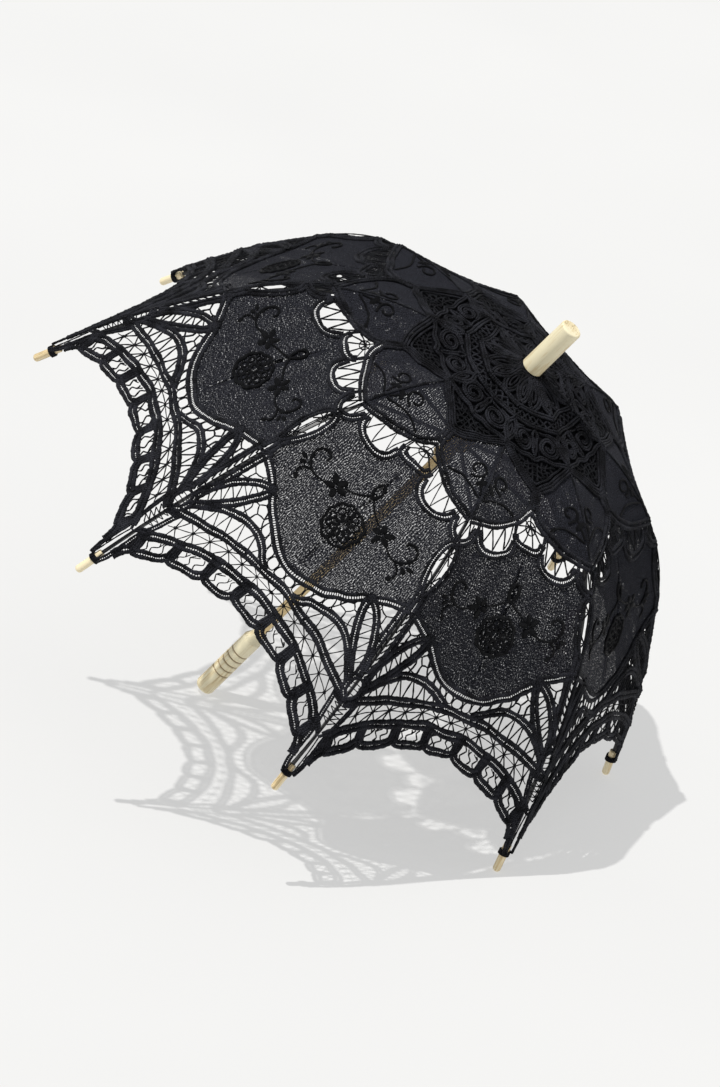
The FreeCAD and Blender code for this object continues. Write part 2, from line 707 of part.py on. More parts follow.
def rib_local(point):
    """A point of the rib's plane, in the rib's own frame."""
    away = point - HINGE
    along = away.x * cosine(RIB.slope) - away.z * sine(RIB.slope)
    up = away.x * sine(RIB.slope) + away.z * cosine(RIB.slope)
    return Vector(along, 0, up)


def make_rib_pin(number):
    """The pin through the rib that the fork of the stretcher turns on."""
    pin = cylinder("rib_pin_%d" % number, "@wire_radius", "@joint_pin_length")
    half = size("joint_pin_length") / 2
    crosswise = Placement(Vector(0, half, 0), Rotation(Vector(1, 0, 0), 90))
    return place(pin, own_frame(azimuth_of(number), JOINT).multiply(crosswise))


def make_stretcher(number):
    """A straight steel strut, grooved below, whose forked head sits astride the rib."""
    body = new_body("stretcher_%d" % number)
    plan = sketch_on(body, "XY_Plane", "strut_plan")
    length = "%.6f" % STRETCHER_LENGTH
    end = "@stretcher_height / 2"
    narrow = "@stretcher_width / 2"
    inside = "@fork_gap / 2"
    outside = "(@fork_gap / 2 + @fork_wall)"
    base = length + " - @fork_length"
    shoulder = length + " - @fork_depth - 2"
    floor = length + " - @fork_depth"
    head = length + " + " + end
    outline(plan, [
        ("-" + end, "-" + narrow),
        (base, "-" + narrow),
        (shoulder, "-" + outside),
        (head, "-" + outside),
        (head, "-" + inside),
        (floor, "-" + inside),
        (floor, inside),
        (head, inside),
        (head, outside),
        (shoulder, outside),
        (base, narrow),
        ("-" + end, narrow),
    ])
    pad(body, plan, "@stretcher_height")
    height = size("stretcher_height")

    def at_ends(edge):
        first, last = edge.Vertexes[0].Point, edge.Vertexes[-1].Point
        beyond = first.x < -height / 4 or first.x > STRETCHER_LENGTH + height / 4
        return beyond and abs(first.x - last.x) < 1e-6 and abs(first.y - last.y) > 0.5

    round_edges(body, "0.49 * @stretcher_height", at_ends)
    groove = sketch_on(body, "XZ_Plane", "groove")
    groove_end = base + " - @strut_groove_end"
    roof = "@strut_groove_depth - @stretcher_height / 2"
    outline(groove, [
        ("@strut_groove_end", "-@stretcher_height"),
        (groove_end, "-@stretcher_height"),
        (groove_end, roof),
        ("@strut_groove_end", roof),
    ])
    pocket(body, groove, "@strut_groove_width")
    cross_hole(body, "foot_hole", "0", "0", "@wire_radius")
    cross_hole(body, "head_hole", length, "0", "@pin_hole")
    return place(body, own_frame(azimuth_of(number), FOOT, -STRETCHER_SLOPE))


def make_foot_pin(number):
    """The pin in a stretcher's foot, which slides and turns in the runner's channel."""
    pin = cylinder("foot_pin_%d" % number, "@wire_radius", "@foot_pin_length")
    half = size("foot_pin_length") / 2
    crosswise = Placement(Vector(0, half, 0), Rotation(Vector(1, 0, 0), 90))
    return place(pin, own_frame(azimuth_of(number), FOOT).multiply(crosswise))


# ---------------------------------------------------------------------------------------------
# The canopy: one gore over each rib, flat between the ribs, with a deep scalloped edge.

def gore_section(azimuth):
    """The closed outline of the lace in the half plane at an angle from the gore's rib."""
    outer = canopy_line(0.0)
    inner = canopy_line(size("canopy_thickness"))
    half_step = RIB_STEP / 2
    towards_rib = 1.0 - abs(azimuth) / half_step
    middle = size("edge_at_middle")
    share = middle + (size("edge_at_rib") - middle) * towards_rib ** size("edge_power")
    tip_slope = outer.slope_at_radius(size("tip_radius"))
    straight_and_bend = outer.length_to_skirt()
    whole = straight_and_bend + outer.skirt * math.radians(tip_slope - outer.shoulder)
    end_slope = outer.slope_at_length(share * whole)
    top = outer.edges(end_slope)
    bottom = inner.edges(end_slope)
    start = Part.LineSegment(inner.start, outer.start).toShape()
    end = Part.LineSegment(outer.on_skirt(end_slope), inner.on_skirt(end_slope)).toShape()
    backwards = list(reversed(bottom))
    wire = Part.Wire(Part.__sortEdges__(top + [end] + backwards + [start]))
    # Between two ribs the lace runs straight across, nearer to the shaft than a rib is.
    squeeze = cosine(half_step) / cosine(half_step - abs(azimuth))
    flatten = FreeCAD.Matrix()
    flatten.scale(squeeze, squeeze, 1.0)
    section = wire.transformGeometry(flatten)
    section.rotate(Vector(0, 0, 0), Vector(0, 0, 1), azimuth)
    return Part.Wire(section.Edges)


def make_gore(number):
    gore = document.addObject("Part::Feature", "gore_%d" % number)
    gore.Label = "gore_%d" % number
    limit = size("canopy_half_angle")
    angles = [-limit, -limit * 2 / 3, -limit / 3, 0.0, limit / 3, limit * 2 / 3, limit]
    gore.Shape = Part.makeLoft([gore_section(angle) for angle in angles], True, True)
    return place(gore, own_frame(azimuth_of(number)))


# ---------------------------------------------------------------------------------------------

def make_all():
    make_shaft()
    make_stop_pin()
    make_catch()
    make_ferrule()
    make_handle()
    make_crown()
    make_crown_wire()
    make_runner()
    for number in range(1, RIBS + 1):
        make_rib(number)
        make_rib_pin(number)
        make_tip(number)
        make_stretcher(number)
        make_foot_pin(number)
        make_gore(number)


def check_document():
    """Stops if anything in the document failed to build."""
    for item in document.Objects:
        if "Invalid" in item.State or "Error" in item.State:
            raise RuntimeError("%s failed to build" % item.Label)
    for piece, frame in placed_pieces:
        if piece.Shape.isNull() or not piece.Shape.isValid():
            raise RuntimeError("%s has no valid shape" % piece.Label)


def report_geometry(shift, lean):
    """Prints the few positions that the record states."""
    row = shift.multiply(lean)

    def show(name, point):
        place_now = row.multVec(point)
        print("%s %.4f %.4f %.4f" % (name, place_now.x, place_now.y, place_now.z))

    show("apex", Vector(0, 0, 0))
    show("handle_end", Vector(0, 0, -size("handle_end")))
    show("ferrule_top", Vector(0, 0, size("ferrule_length") - size("ferrule_base")))
    print("hinge", HINGE.x, HINGE.z, "joint", JOINT.x, JOINT.z, "foot", FOOT.x, FOOT.z)
    print("stretcher length %.3f slope %.4f" % (STRETCHER_LENGTH, STRETCHER_SLOPE))
    print("rib slope %.4f straight %.3f tip slope %.3f" % (
        RIB.slope, (RIB.straight_end - RIB.start).Length, RIB_TIP_SLOPE))
    for name in ("handle", "tip_6", "tip_7"):
        piece = [piece for piece, frame in placed_pieces if piece.Label == name][0]
        lowest = min(point.z for point in piece.Shape.tessellate(0.05)[0])
        print("lowest point of %s %.3f" % (name, lowest))


make_all()
document.recompute()
check_document()
shift, lean = lean_all()
document.recompute()
check_document()
report_geometry(shift, lean)

os.makedirs("parts", exist_ok=True)
for piece, frame in placed_pieces:
    piece.Shape.exportStep(os.path.join("parts", piece.Label + ".step"))
    print("%-16s %10.1f mm3  %d solid" % (piece.Label, piece.Shape.Volume, len(piece.Shape.Solids)))
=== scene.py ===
"""The lace parasol's looks: black tape lace, cotton and embroidery on a pale wooden frame.

The lace is drawn flat, in millimetres, on half a panel: x runs from the panel's middle line to
the rib and y runs along the canopy from its apex. Sixteen copies of that half panel, two on each
rib and mirrored, are laid on the canopy's surface. Everything else is a CAD node with its own
material.
"""

import json
import math

import bpy
import numpy as np
from mathutils import Matrix, Vector, geometry


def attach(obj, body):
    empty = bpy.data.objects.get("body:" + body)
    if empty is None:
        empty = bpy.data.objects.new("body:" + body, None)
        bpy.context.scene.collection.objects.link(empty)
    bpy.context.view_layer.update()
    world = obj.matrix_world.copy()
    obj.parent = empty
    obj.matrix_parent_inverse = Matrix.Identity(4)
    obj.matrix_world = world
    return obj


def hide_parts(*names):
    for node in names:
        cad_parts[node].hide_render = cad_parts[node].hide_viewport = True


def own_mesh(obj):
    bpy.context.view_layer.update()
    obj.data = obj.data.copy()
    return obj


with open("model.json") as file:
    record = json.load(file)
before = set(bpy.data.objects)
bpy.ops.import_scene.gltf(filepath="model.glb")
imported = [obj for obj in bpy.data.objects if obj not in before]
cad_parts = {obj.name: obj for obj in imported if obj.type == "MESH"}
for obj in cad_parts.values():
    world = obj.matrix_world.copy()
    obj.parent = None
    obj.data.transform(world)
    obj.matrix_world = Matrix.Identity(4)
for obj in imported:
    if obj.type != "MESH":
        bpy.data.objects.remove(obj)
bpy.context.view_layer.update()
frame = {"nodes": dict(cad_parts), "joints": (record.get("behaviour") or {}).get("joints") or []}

MM = 0.001
RIBS = 8
HALF_STEP = math.pi / RIBS

# --------------------
# Where the canopy is: the shaft's axis and the rib hinges come from the frame.

joints = {joint["name"]: joint for joint in frame["joints"]}
SHAFT_UP = -Vector(joints["runner_slide"]["axis"]).normalized()
hinges = [Vector(joints["rib_%d_hinge" % k]["pos_m"]) for k in range(1, RIBS + 1)]
HINGE_CENTRE = sum(hinges, Vector()) / RIBS
HINGE_DEPTH = 9.5 * MM
APEX = HINGE_CENTRE + SHAFT_UP * HINGE_DEPTH
RIB_OUT = [(hinge - HINGE_CENTRE).normalized() for hinge in hinges]

# The canopy's line over a rib: a straight slope, a shoulder arc and a flatter skirt arc (mm).
SLOPE = math.radians(12.7)
START_RADIUS = 12.0
START_DEPTH = 2.5
STRAIGHT_RADIUS = 131.0
SHOULDER_BEND = 258.0
SHOULDER_SLOPE = math.radians(54.5)
SKIRT_BEND = 992.0

# The lace is drawn longer than the canopy's line, which it then fits (mm from apex to rib tip).
CANOPY_LENGTH = 566.0
DRAWN_LENGTH = 574.0
DRAWING_SCALE = CANOPY_LENGTH / DRAWN_LENGTH

STRAIGHT_LENGTH = STRAIGHT_RADIUS / math.cos(SLOPE)
SHOULDER_LENGTH = SHOULDER_BEND * (SHOULDER_SLOPE - SLOPE)
BEND_DEPTH = START_DEPTH + (STRAIGHT_RADIUS - START_RADIUS) * math.tan(SLOPE)

# How far a panel's middle hangs below the line between its ribs (mm), and how full its curve is.
SAG = 5.0
SAG_FULLNESS = 0.7
# The lace's height above the canopy's line, and the distance between the cotton's faces (mm).
LIFT = 0.4
CLOTH_DEPTH = 0.7
# How uneven hand work is: a share of a cord's radius, and millimetres across a panel. The
# second fades to nothing at the apex over this length (mm).
LUMPS = 0.10
WANDER = 1.7
WANDER_START = 60.0
# The distance between a curve's points, and the radii of the sewing threads (mm).
FINE_STEP = 2.2
THREAD_RADIUS = 0.85
WEB_THREAD = 1.02
EYE_THREAD = 0.84
FINE_THREAD = 0.77
# A cord's radius as a share of its tape's width, or of one row of its braid.
TAPE_CORD_SHARE = 0.236
BRAID_CORD_SHARE = 0.44
# The stitches in a tape's middle: their distance and their size along the tape (mm).
RUNG_SPACING = 2.5
RUNG_LENGTH = 1.2
# A length that stands for nothing where a division needs one.
TINY = 1e-9
# The wrapping round each peg: where it begins along the rib, its radius and the peg's height (mm).
WRAP_START = 563.0
WRAP_RADIUS = 5.5
PEG_HEIGHT = -6.3
# A rib's cotton: the top of its petal and its widest place (mm).
PETAL_TOP = 122.0
WIDEST = 360.0
# The turned rings of the handle: the first one's distance from its end, and the step (m).
FIRST_RING = 0.033
RING_STEP = 0.0088


def canopy_line(y):
    """Radius, height and slope of the canopy over a rib, at drawn lengths y from the apex (mm)."""
    y = np.asarray(y, float) * DRAWING_SCALE
    on_shoulder = SLOPE + (y - STRAIGHT_LENGTH) / SHOULDER_BEND
    on_skirt = SHOULDER_SLOPE + (y - STRAIGHT_LENGTH - SHOULDER_LENGTH) / SKIRT_BEND
    flat = y < STRAIGHT_LENGTH
    skirt = y > STRAIGHT_LENGTH + SHOULDER_LENGTH
    slope = np.where(flat, SLOPE, np.where(skirt, on_skirt, on_shoulder))
    shoulder_slope = np.clip(on_shoulder, SLOPE, SHOULDER_SLOPE)
    straight = np.minimum(y, STRAIGHT_LENGTH)
    radius = straight * math.cos(SLOPE)
    radius += SHOULDER_BEND * (np.sin(shoulder_slope) - math.sin(SLOPE))
    radius += np.where(skirt, SKIRT_BEND * (np.sin(on_skirt) - math.sin(SHOULDER_SLOPE)), 0.0)
    height = -BEND_DEPTH + (STRAIGHT_LENGTH - straight) * math.sin(SLOPE)
    height += SHOULDER_BEND * (np.cos(shoulder_slope) - math.cos(SLOPE))
    height += np.where(skirt, SKIRT_BEND * (np.cos(on_skirt) - math.cos(SHOULDER_SLOPE)), 0.0)
    return radius, height, slope


def half_width(y):
    """Distance from a panel's middle line to the rib, at a length y from the apex (mm)."""
    return canopy_line(y)[0] * math.sin(HALF_STEP)


def wander(x, y, seed):
    """The unevenness of hand-made lace: slow waves, the same on every run, that a seed shifts."""
    # The waves' numbers are radians per millimetre.
    first = np.sin(0.071 * x + 0.053 * y + 2.1 * seed) * np.cos(0.045 * y - 0.038 * x + 1.3 * seed)
    second = np.sin(0.19 * x - 0.13 * y + 3.7 * seed) * 0.45
    return first + second


def on_canopy(flat, rib, side):
    """Lays flat points (x, y, h) of half a panel on the canopy, beside a rib, in metres.

    side is +1 for the panel that follows the rib and -1 for the one before it.
    """
    x, y, h = flat[:, 0], flat[:, 1], flat[:, 2]
    width = half_width(y)
    # Positions across the whole panel are the same for the two ribs that share it.
    panel = rib if side > 0 else (rib - 1) % RIBS
    across = x * -side
    share = np.clip(across / np.maximum(width, 1.0), -1.0, 1.0)
    free = 1.0 - share ** 2
    across = across + WANDER * free * wander(across, y, panel + 1)
    y = y + WANDER * free * wander(y, across, panel + 5) * np.clip(y / WANDER_START, 0.0, 1.0)
    radius, height, slope = canopy_line(y)
    sag = SAG * free * np.sin(np.clip(y / CANOPY_LENGTH, 0.0, 1.0) * math.pi) ** SAG_FULLNESS
    lift = h + LIFT - sag
    radial = radius * math.cos(HALF_STEP) + lift * np.sin(slope)
    height = height + lift * np.cos(slope)
    turned = Matrix.Rotation(side * HALF_STEP, 3, SHAFT_UP)
    outward = turned @ RIB_OUT[rib]
    sideways = SHAFT_UP.cross(outward)
    place = np.array(APEX)[None, :] / MM
    for amount, direction in ((radial, outward), (across, sideways), (height, SHAFT_UP)):
        place = place + amount[:, None] * np.array(direction)
    return place * MM


def new_object(name, data):
    """An object of its own in the scene."""
    made = bpy.data.objects.new(name, data)
    bpy.context.scene.collection.objects.link(made)
    return made


# --------------------
# Flat needlework: curves, tapes, cords, threads and pads, collected as points and faces.

def beyond(end, inner):
    """The point past a curve's end: mirrored at the panel's middle line, else straight on."""
    if abs(end[0]) < 0.01:
        return np.array([-inner[0], inner[1]])
    return 2 * end - inner


def smooth(points, step=FINE_STEP, closed=False):
    """A Catmull-Rom curve through flat points, sampled about every step millimetres."""
    points = [np.array(point, float) for point in points]
    count = len(points)
    samples = []
    spans = count if closed else count - 1
    for i in range(spans):
        before = points[(i - 1) % count] if closed or i > 0 else beyond(points[0], points[1])
        start, end = points[i], points[(i + 1) % count]
        last = i + 2 >= count and not closed
        after = beyond(points[-1], points[-2]) if last else points[(i + 2) % count]
        pieces = max(1, int(round(np.linalg.norm(end - start) / step)))
        for j in range(pieces):
            t = j / pieces
            bend = 2 * before - 5 * start + 4 * end - after
            twist = -before + 3 * start - 3 * end + after
            samples.append(0.5 * (2 * start + (end - before) * t + bend * t * t + twist * t ** 3))
    if not closed:
        samples.append(points[-1])
    return np.array(samples)


def at_share(curve, share):
    """The point at a share of a sampled curve's length."""
    steps = np.linalg.norm(np.diff(curve, axis=0), axis=1)
    runs = np.concatenate([[0.0], np.cumsum(steps)])
    target = share * runs[-1]
    return np.array([np.interp(target, runs, curve[:, 0]), np.interp(target, runs, curve[:, 1])])


def side_steps(curve, closed=False):
    """Unit normals of a sampled flat curve."""
    if closed:
        along = np.roll(curve, -1, axis=0) - np.roll(curve, 1, axis=0)
    else:
        along = np.gradient(curve, axis=0)
    along /= np.maximum(np.linalg.norm(along, axis=1), TINY)[:, None]
    return np.stack([-along[:, 1], along[:, 0]], axis=1)


def beside_rib(distance, y):
    """A flat point at a distance from the rib, measured across the half panel."""
    return (float(half_width(y)) - distance, y)


def beside(*places):
    """Flat points given as pairs: a distance from the rib and a length from the apex."""
    return [beside_rib(distance, y) for distance, y in places]


def tube_faces(rings, sides, closed=False):
    """The faces between each ring of points and the one after it."""
    faces = []
    for i in range(rings if closed else rings - 1):
        start, following = i * sides, (i + 1) % rings * sides
        for j in range(sides):
            k = (j + 1) % sides
            faces.append((start + j, start + k, following + k, following + j))
    return faces


class Needlework:
    """Collects one kind of work on half a panel, then lays it on the canopy rib by rib."""

    def __init__(self):
        self.points = []
        self.faces = []
        self.yarn = []
        self.total = 0

    def add(self, points, faces, yarn):
        """Takes in points, the faces between them and each point's place on its yarn."""
        start = self.total
        self.points.append(np.asarray(points, float))
        self.yarn.append(np.asarray(yarn, float))
        self.faces.extend([tuple(start + index for index in face) for face in faces])
        self.total += len(points)

    def cord(self, curve, radius, height=0.0, sides=6, closed=False, flatness=0.85):
        """A round or slightly flattened cord along a sampled curve."""
        normals = side_steps(curve, closed)
        steps = np.linalg.norm(np.diff(curve, axis=0, append=curve[:1]), axis=1)
        runs = np.concatenate([[0.0], np.cumsum(steps)[:-1]])
        # Two waves of thickness along the cord, which start where it does.
        uneven = np.sin(runs * 1.13 + curve[0][0]) + np.sin(runs * 0.57 + curve[0][1])
        radii = radius * (1.0 + LUMPS * uneven)
        points, yarn = [], []
        for i in range(len(curve)):
            for j in range(sides):
                angle = 2 * math.pi * (j + 0.5) / sides
                out = radii[i] * math.cos(angle)
                up = radii[i] * flatness * math.sin(angle)
                points.append((*(curve[i] + normals[i] * out), height + up))
                yarn.append((runs[i], j / sides, 0.0))
        faces = tube_faces(len(curve), sides, closed)
        if not closed:
            faces.append(tuple(range(sides)))
            faces.append(tuple((len(curve) - 1) * sides + j for j in reversed(range(sides))))
        self.add(points, faces, yarn)

    def strand(self, points, radius, height, step=FINE_STEP):
        """A cord along a smooth curve through flat points."""
        self.cord(smooth(points, step), radius, height)

    def rungs(self, curve, width, height):
        """The woven middle of a tape: short flat stitches across it, with gaps between."""
        steps = np.linalg.norm(np.diff(curve, axis=0), axis=1)
        length = float(np.sum(steps))
        count = max(1, int(length / RUNG_SPACING))
        normals = side_steps(curve)
        runs = np.concatenate([[0.0], np.cumsum(steps)])
        points, yarn, faces = [], [], []
        for i in range(count):
            middle = (i + 0.5) * length / count
            corners = []
            for run in (middle - RUNG_LENGTH / 2, middle + RUNG_LENGTH / 2):
                place = [np.interp(run, runs, curve[:, axis]) for axis in (0, 1)]
                normal = [np.interp(run, runs, normals[:, axis]) for axis in (0, 1)]
                for side in (-0.5, 0.5):
                    across = side * width
                    corners.append((place[0] + normal[0] * across, place[1] + normal[1] * across))
            start = len(points)
            for corner in corners:
                points.append((*corner, height))
                yarn.append((middle, 0.5, 1.0))
            faces.append((start, start + 1, start + 3, start + 2))
        self.add(points, faces, yarn)

    def tape(self, points, width, height, openness=0.0):
        """Battenburg tape: a stout cord along each edge and a woven ladder between them."""
        curve = smooth(points)
        normals = side_steps(curve)
        cord = (TAPE_CORD_SHARE - openness) * width
        shift = width / 2 - cord
        for side in (-1, 1):
            self.cord(curve + normals * shift * side, cord, height)
        self.rungs(curve, width - 3 * cord, height + 0.2)

    def band(self, points, width, height, rows=2, step=2.4):
        """A close braid: round cords side by side, with a dark furrow between them."""
        curve = smooth(points, step)
        normals = side_steps(curve)
        for row in range(rows):
            shift = width * ((row + 0.5) / rows - 0.5)
            self.cord(curve + normals * shift, BRAID_CORD_SHARE * width / rows, height,
                      flatness=1.0)

    def thread(self, points, radius=THREAD_RADIUS, height=0.3, step=4.0):
        """One sewing thread, drawn tight between its points."""
        self.cord(smooth(points, step), radius, height, sides=4, flatness=1.0)

    def wrap(self, curve, heights, radius, sides=6):
        """A cord that goes round something: its points rise and fall as well."""
        line = np.column_stack([curve, heights])
        points = []
        for i in range(len(line)):
            along = line[min(i + 1, len(line) - 1)] - line[max(i - 1, 0)]
            along /= np.linalg.norm(along)
            aside = np.array([0.0, 1.0, 0.0]) - along[1] * along
            aside /= np.linalg.norm(aside)
            up = np.cross(along, aside)
            for j in range(sides):
                angle = 2 * math.pi * j / sides
                points.append(line[i] + radius * (math.cos(angle) * aside + math.sin(angle) * up))
        yarn = [(i * 2.0, 0.0, 0.0) for i in range(len(points))]
        self.add(points, tube_faces(len(line), sides), yarn)

    def pad(self, middle, angle, length, width, height, rings=4, sides=14):
        """A satin stitched leaf or petal: a low dome with pointed ends."""
        along = np.array([math.cos(angle), math.sin(angle)])
        across = np.array([-along[1], along[0]])
        middle = np.array(middle, float)
        points = [(*middle, height + 0.3)]
        yarn = [(0.0, 0.0, 0.0)]
        faces = []
        for ring in range(1, rings + 1):
            share = ring / rings
            for j in range(sides):
                turn = 2 * math.pi * j / sides
                reach = math.cos(turn) * length / 2
                pointed = abs(math.sin(turn)) ** 1.15
                breadth = math.copysign(pointed, math.sin(turn)) * width / 2
                spot = middle + along * reach * share + across * breadth * share
                points.append((*spot, 0.3 + height * math.sqrt(max(0.0, 1 - share ** 2))))
                yarn.append((reach * share, breadth * share, 0.0))
        for j in range(sides):
            faces.append((0, 1 + j, 1 + (j + 1) % sides))
        for ring in range(rings - 1):
            for j in range(sides):
                k = (j + 1) % sides
                inner, outer = 1 + ring * sides, 1 + (ring + 1) * sides
                faces.append((inner + j, outer + j, outer + k, inner + k))
        self.add(points, faces, yarn)

    def cloth(self, outline, step=5.0, height=0.0, closeness_and_shade=0.0):
        """A piece of cloth inside a flat outline, with points inside so that it can curve."""
        corners = [Vector((float(x), float(y))) for x, y in outline]
        low = np.min(outline, axis=0)
        high = np.max(outline, axis=0)
        edges = [(i, (i + 1) % len(corners)) for i in range(len(corners))]
        # Rows of points, with those of every other row half a step further on.
        inside = []
        for row, y in enumerate(np.arange(low[1] + step / 2, high[1], step * 0.87)):
            for x in np.arange(low[0] + step / 2 + (row % 2) * step / 2, high[0], step):
                if deep_inside(np.asarray(outline, float), x, y, step * 0.45):
                    inside.append(Vector((float(x), float(y))))
        found = geometry.delaunay_2d_cdt(corners + inside, edges, [], 1, 1e-4)
        points = [(v.x, v.y, height) for v in found[0]]
        yarn = [(v.x, v.y, closeness_and_shade) for v in found[0]]
        self.add(points, [tuple(face) for face in found[2]], yarn)

    def lay(self, name, rib, material, lift=0.0):
        """Lays two mirrored copies beside a rib, as one Blender object."""
        flat = np.concatenate(self.points) + (0.0, 0.0, lift)
        yarn = np.concatenate(self.yarn)
        after = on_canopy(flat, rib, 1)
        before = on_canopy(flat, rib, -1)
        count = len(flat)
        turned = [tuple(reversed(face)) for face in self.faces]
        mirrored = [tuple(count + index for index in face) for face in self.faces]
        mesh = bpy.data.meshes.new(name)
        mesh.from_pydata(np.concatenate([after, before]).tolist(), [], turned + mirrored)
        # The second copy's strands start a little further on, so that the two do not match.
        yarns = np.concatenate([yarn, yarn + (0.37, 0.0, 0.0)]).astype(np.float32)
        attribute = mesh.attributes.new("yarn", "FLOAT_VECTOR", "POINT")
        attribute.data.foreach_set("vector", yarns.ravel())
        mesh.materials.append(material)
        mesh.shade_smooth()
        return new_object(name, mesh)


def deep_inside(outline, x, y, margin):
    """True for a point inside a closed outline and at least a margin from its edge."""
    following = np.roll(outline, -1, axis=0)
    span = following - outline
    crosses = (outline[:, 1] > y) != (following[:, 1] > y)
    rise = np.where(span[:, 1] == 0, TINY, span[:, 1])
    at = outline[:, 0] + (y - outline[:, 1]) / rise * span[:, 0]
    if not np.count_nonzero(crosses & (x < at)) % 2:
        return False
    length = np.maximum(np.sum(span ** 2, axis=1), TINY)
    along = (x - outline[:, 0]) * span[:, 0] + (y - outline[:, 1]) * span[:, 1]
    share = np.clip(along / length, 0, 1)
    off_x = outline[:, 0] + share * span[:, 0] - x
    off_y = outline[:, 1] + share * span[:, 1] - y
    return float(np.min(np.hypot(off_x, off_y))) > margin


# --------------------
# The drawing of half a panel.

tapes = Needlework()
threads = Needlework()
stitches = Needlework()
cotton = Needlework()


def rib_edge(start, end, distance=0.0, step=8.0):
    """Points along the rib from one length to another, at a distance from it."""
    count = max(2, int(abs(end - start) / step) + 1)
    return [beside_rib(distance, y) for y in np.linspace(start, end, count)]


def zigzag(first, second, turns):
    """A thread sewn to and fro between two curves."""
    for i in range(turns):
        middle = at_share(second, (i + 0.5) / turns)
        threads.thread([at_share(first, i / turns), middle])
        threads.thread([middle, at_share(first, (i + 1) / turns)])


def cells(first, second, count, gap=0.6):
    """A row of round cells between two lines: each is buttonholed round its own edge."""
    for i in range(count):
        early, late = (i + 0.04) / count, (i + 0.96) / count
        one, two = at_share(first, early), at_share(first, late)
        three, four = at_share(second, late), at_share(second, early)
        top, foot = (one + two) / 2, (three + four) / 2
        ring = [one * 0.88 + foot * 0.12, top - (0, gap), two * 0.88 + foot * 0.12,
                three * 0.88 + top * 0.12, foot + (0, gap), four * 0.88 + top * 0.12]
        threads.cord(smooth(ring, 2.4, closed=True), THREAD_RADIUS, 0.4, sides=5, closed=True)


def block(start, end, width, rows=4, radius=1.55):
    """A solid woven bar: cords side by side."""
    start, end = np.array(start, float), np.array(end, float)
    along = (end - start) / np.linalg.norm(end - start)
    across = np.array([-along[1], along[0]])
    for row in range(rows):
        shift = across * width * ((row + 0.5) / rows - 0.5)
        tapes.strand([start + shift, end + shift], radius, 0.9, 4.0)


def away(middle, reach, angle):
    """The point at a distance from a middle, in the direction of an angle."""
    return (middle[0] + reach * math.cos(angle), middle[1] + reach * math.sin(angle))


def spiral(middle, outer, inner, start_angle, turn, count):
    """Points of a spiral about a middle."""
    shares = [i / count for i in range(count + 1)]
    return [away(middle, outer + (inner - outer) * share, start_angle + turn * share)
            for share in shares]


def oval(middle, reach_x, reach_y, count=10):
    """Points of an oval about a middle."""
    turns = [2 * math.pi * i / count for i in range(count)]
    spots = [(middle[0] + reach_x * math.cos(a), middle[1] + reach_y * math.sin(a)) for a in turns]
    return np.array(spots)


def draw_crown():
    """The dense tape lace about the ferrule, over a dark closed sheet of painted shade."""
    # Painted shade: a dark closed sheet under the crown's tapes, standing for the shaded inside
    # seen through their gaps.
    painted_shade_sheet = [(0, 8)] + rib_edge(8, 122, 0, 12) + [(34, 135), (18, 153.5), (5, 167), (0, 168)]
    cotton.cloth(painted_shade_sheet, step=7, height=-1.4, closeness_and_shade=1)
    for y, height in ((13.2, 0), (16, 0.6)):
        tapes.strand([(0, y), beside_rib(0, y)], 1.4, height)
    # Leaves round the ferrule, between the ribs and on them.
    tapes.band([(0, 17), (5, 27), (8.2, 38), (6.4, 50), (0, 58)], 6.4, 1.4)
    tapes.strand([(0.2, 25), (2.4, 34), (2.8, 42), (0.4, 50)], 1.3, 1)
    tapes.band(beside((0, 17), (3.6, 28), (6.2, 40), (4.6, 51), (0, 58)), 5.8, 2.2)
    tapes.strand(beside((0.2, 28), (1.8, 38), (0.2, 48)), 1.2, 1.5)
    # Two rings and the crossed cords between them.
    tapes.band([(0, 61), (10, 61.5), beside_rib(0, 63)], 6.6, 1.8)
    tapes.band([(0, 81.5), (13, 80.5), beside_rib(0, 79.5)], 6.6, 1.8)
    for start, end in (((0, 66), (8, 77)), ((8, 66), (0.5, 77)), ((8.5, 66), (17, 76)),
                       ((17, 67), (9, 77)), ((18, 67), (26, 75)), ((25, 68), (18, 76))):
        tapes.strand([start, end], 1.15, 0.9, 3)
    # Two snail curls beside the panel's middle and a leaf on the rib.
    curl = spiral((17.5, 103), 15, 3, math.radians(-100), math.radians(640), 16)
    tapes.band(curl, 5.6, 1.7, step=2.2)
    tapes.strand([(0, 86), (3, 92), (2.2, 101), (3, 111), (0, 120)], 1.5, 1.2)
    tapes.strand([(0.2, 95), (0.3, 110)], 1.1, 0.8)
    tapes.band(beside((0, 84), (5, 92), (6.4, 103), (0, 117)), 5.8, 1.9)
    tapes.strand(beside((0.2, 92), (2, 101), (0.2, 109)), 1.3, 1.2)
    tapes.strand([(4, 87), (10, 88.5), (19, 87.5), beside_rib(3, 87)], 1.3, 0.9)
    tapes.strand([(33.5, 96), (35.5, 104), (34, 112)], 1.3, 0.7)
    tapes.band([beside_rib(0, 120), (34, 120), (22, 122), (10, 120.5), (0, 124.5)], 6, 1.5)
    # The pointed lobe between two petals, with a web of threads inside it.
    lobe = [beside_rib(0, 122), (34, 135), (18, 153.5), (7, 163), (0, 167)]
    tapes.band(lobe, 9.6, 1.5, 3)
    tapes.strand([beside_rib(8, 118), (31, 127), (17.5, 143), (7, 154), (0, 158)], 1.4, 0.9)
    for x, top, bottom in ((3.5, 128, 154), (10.5, 126, 148), (17.5, 126, 142), (24.5, 125, 134)):
        threads.thread([(x, top), (x * 0.78, (top + bottom) / 2), (x * 0.95, bottom)], 0.95)
    for y, reach in ((130, 26), (138, 20), (146, 13)):
        threads.thread([(0, y + 1.5), (reach * 0.5, y + 2), (reach, y - 3)], 0.95)
    for y, reach in ((129, 20), (136, 15), (143, 10)):
        threads.thread([(0, y), (reach * 0.55, y + 6), (reach, y + 8)])


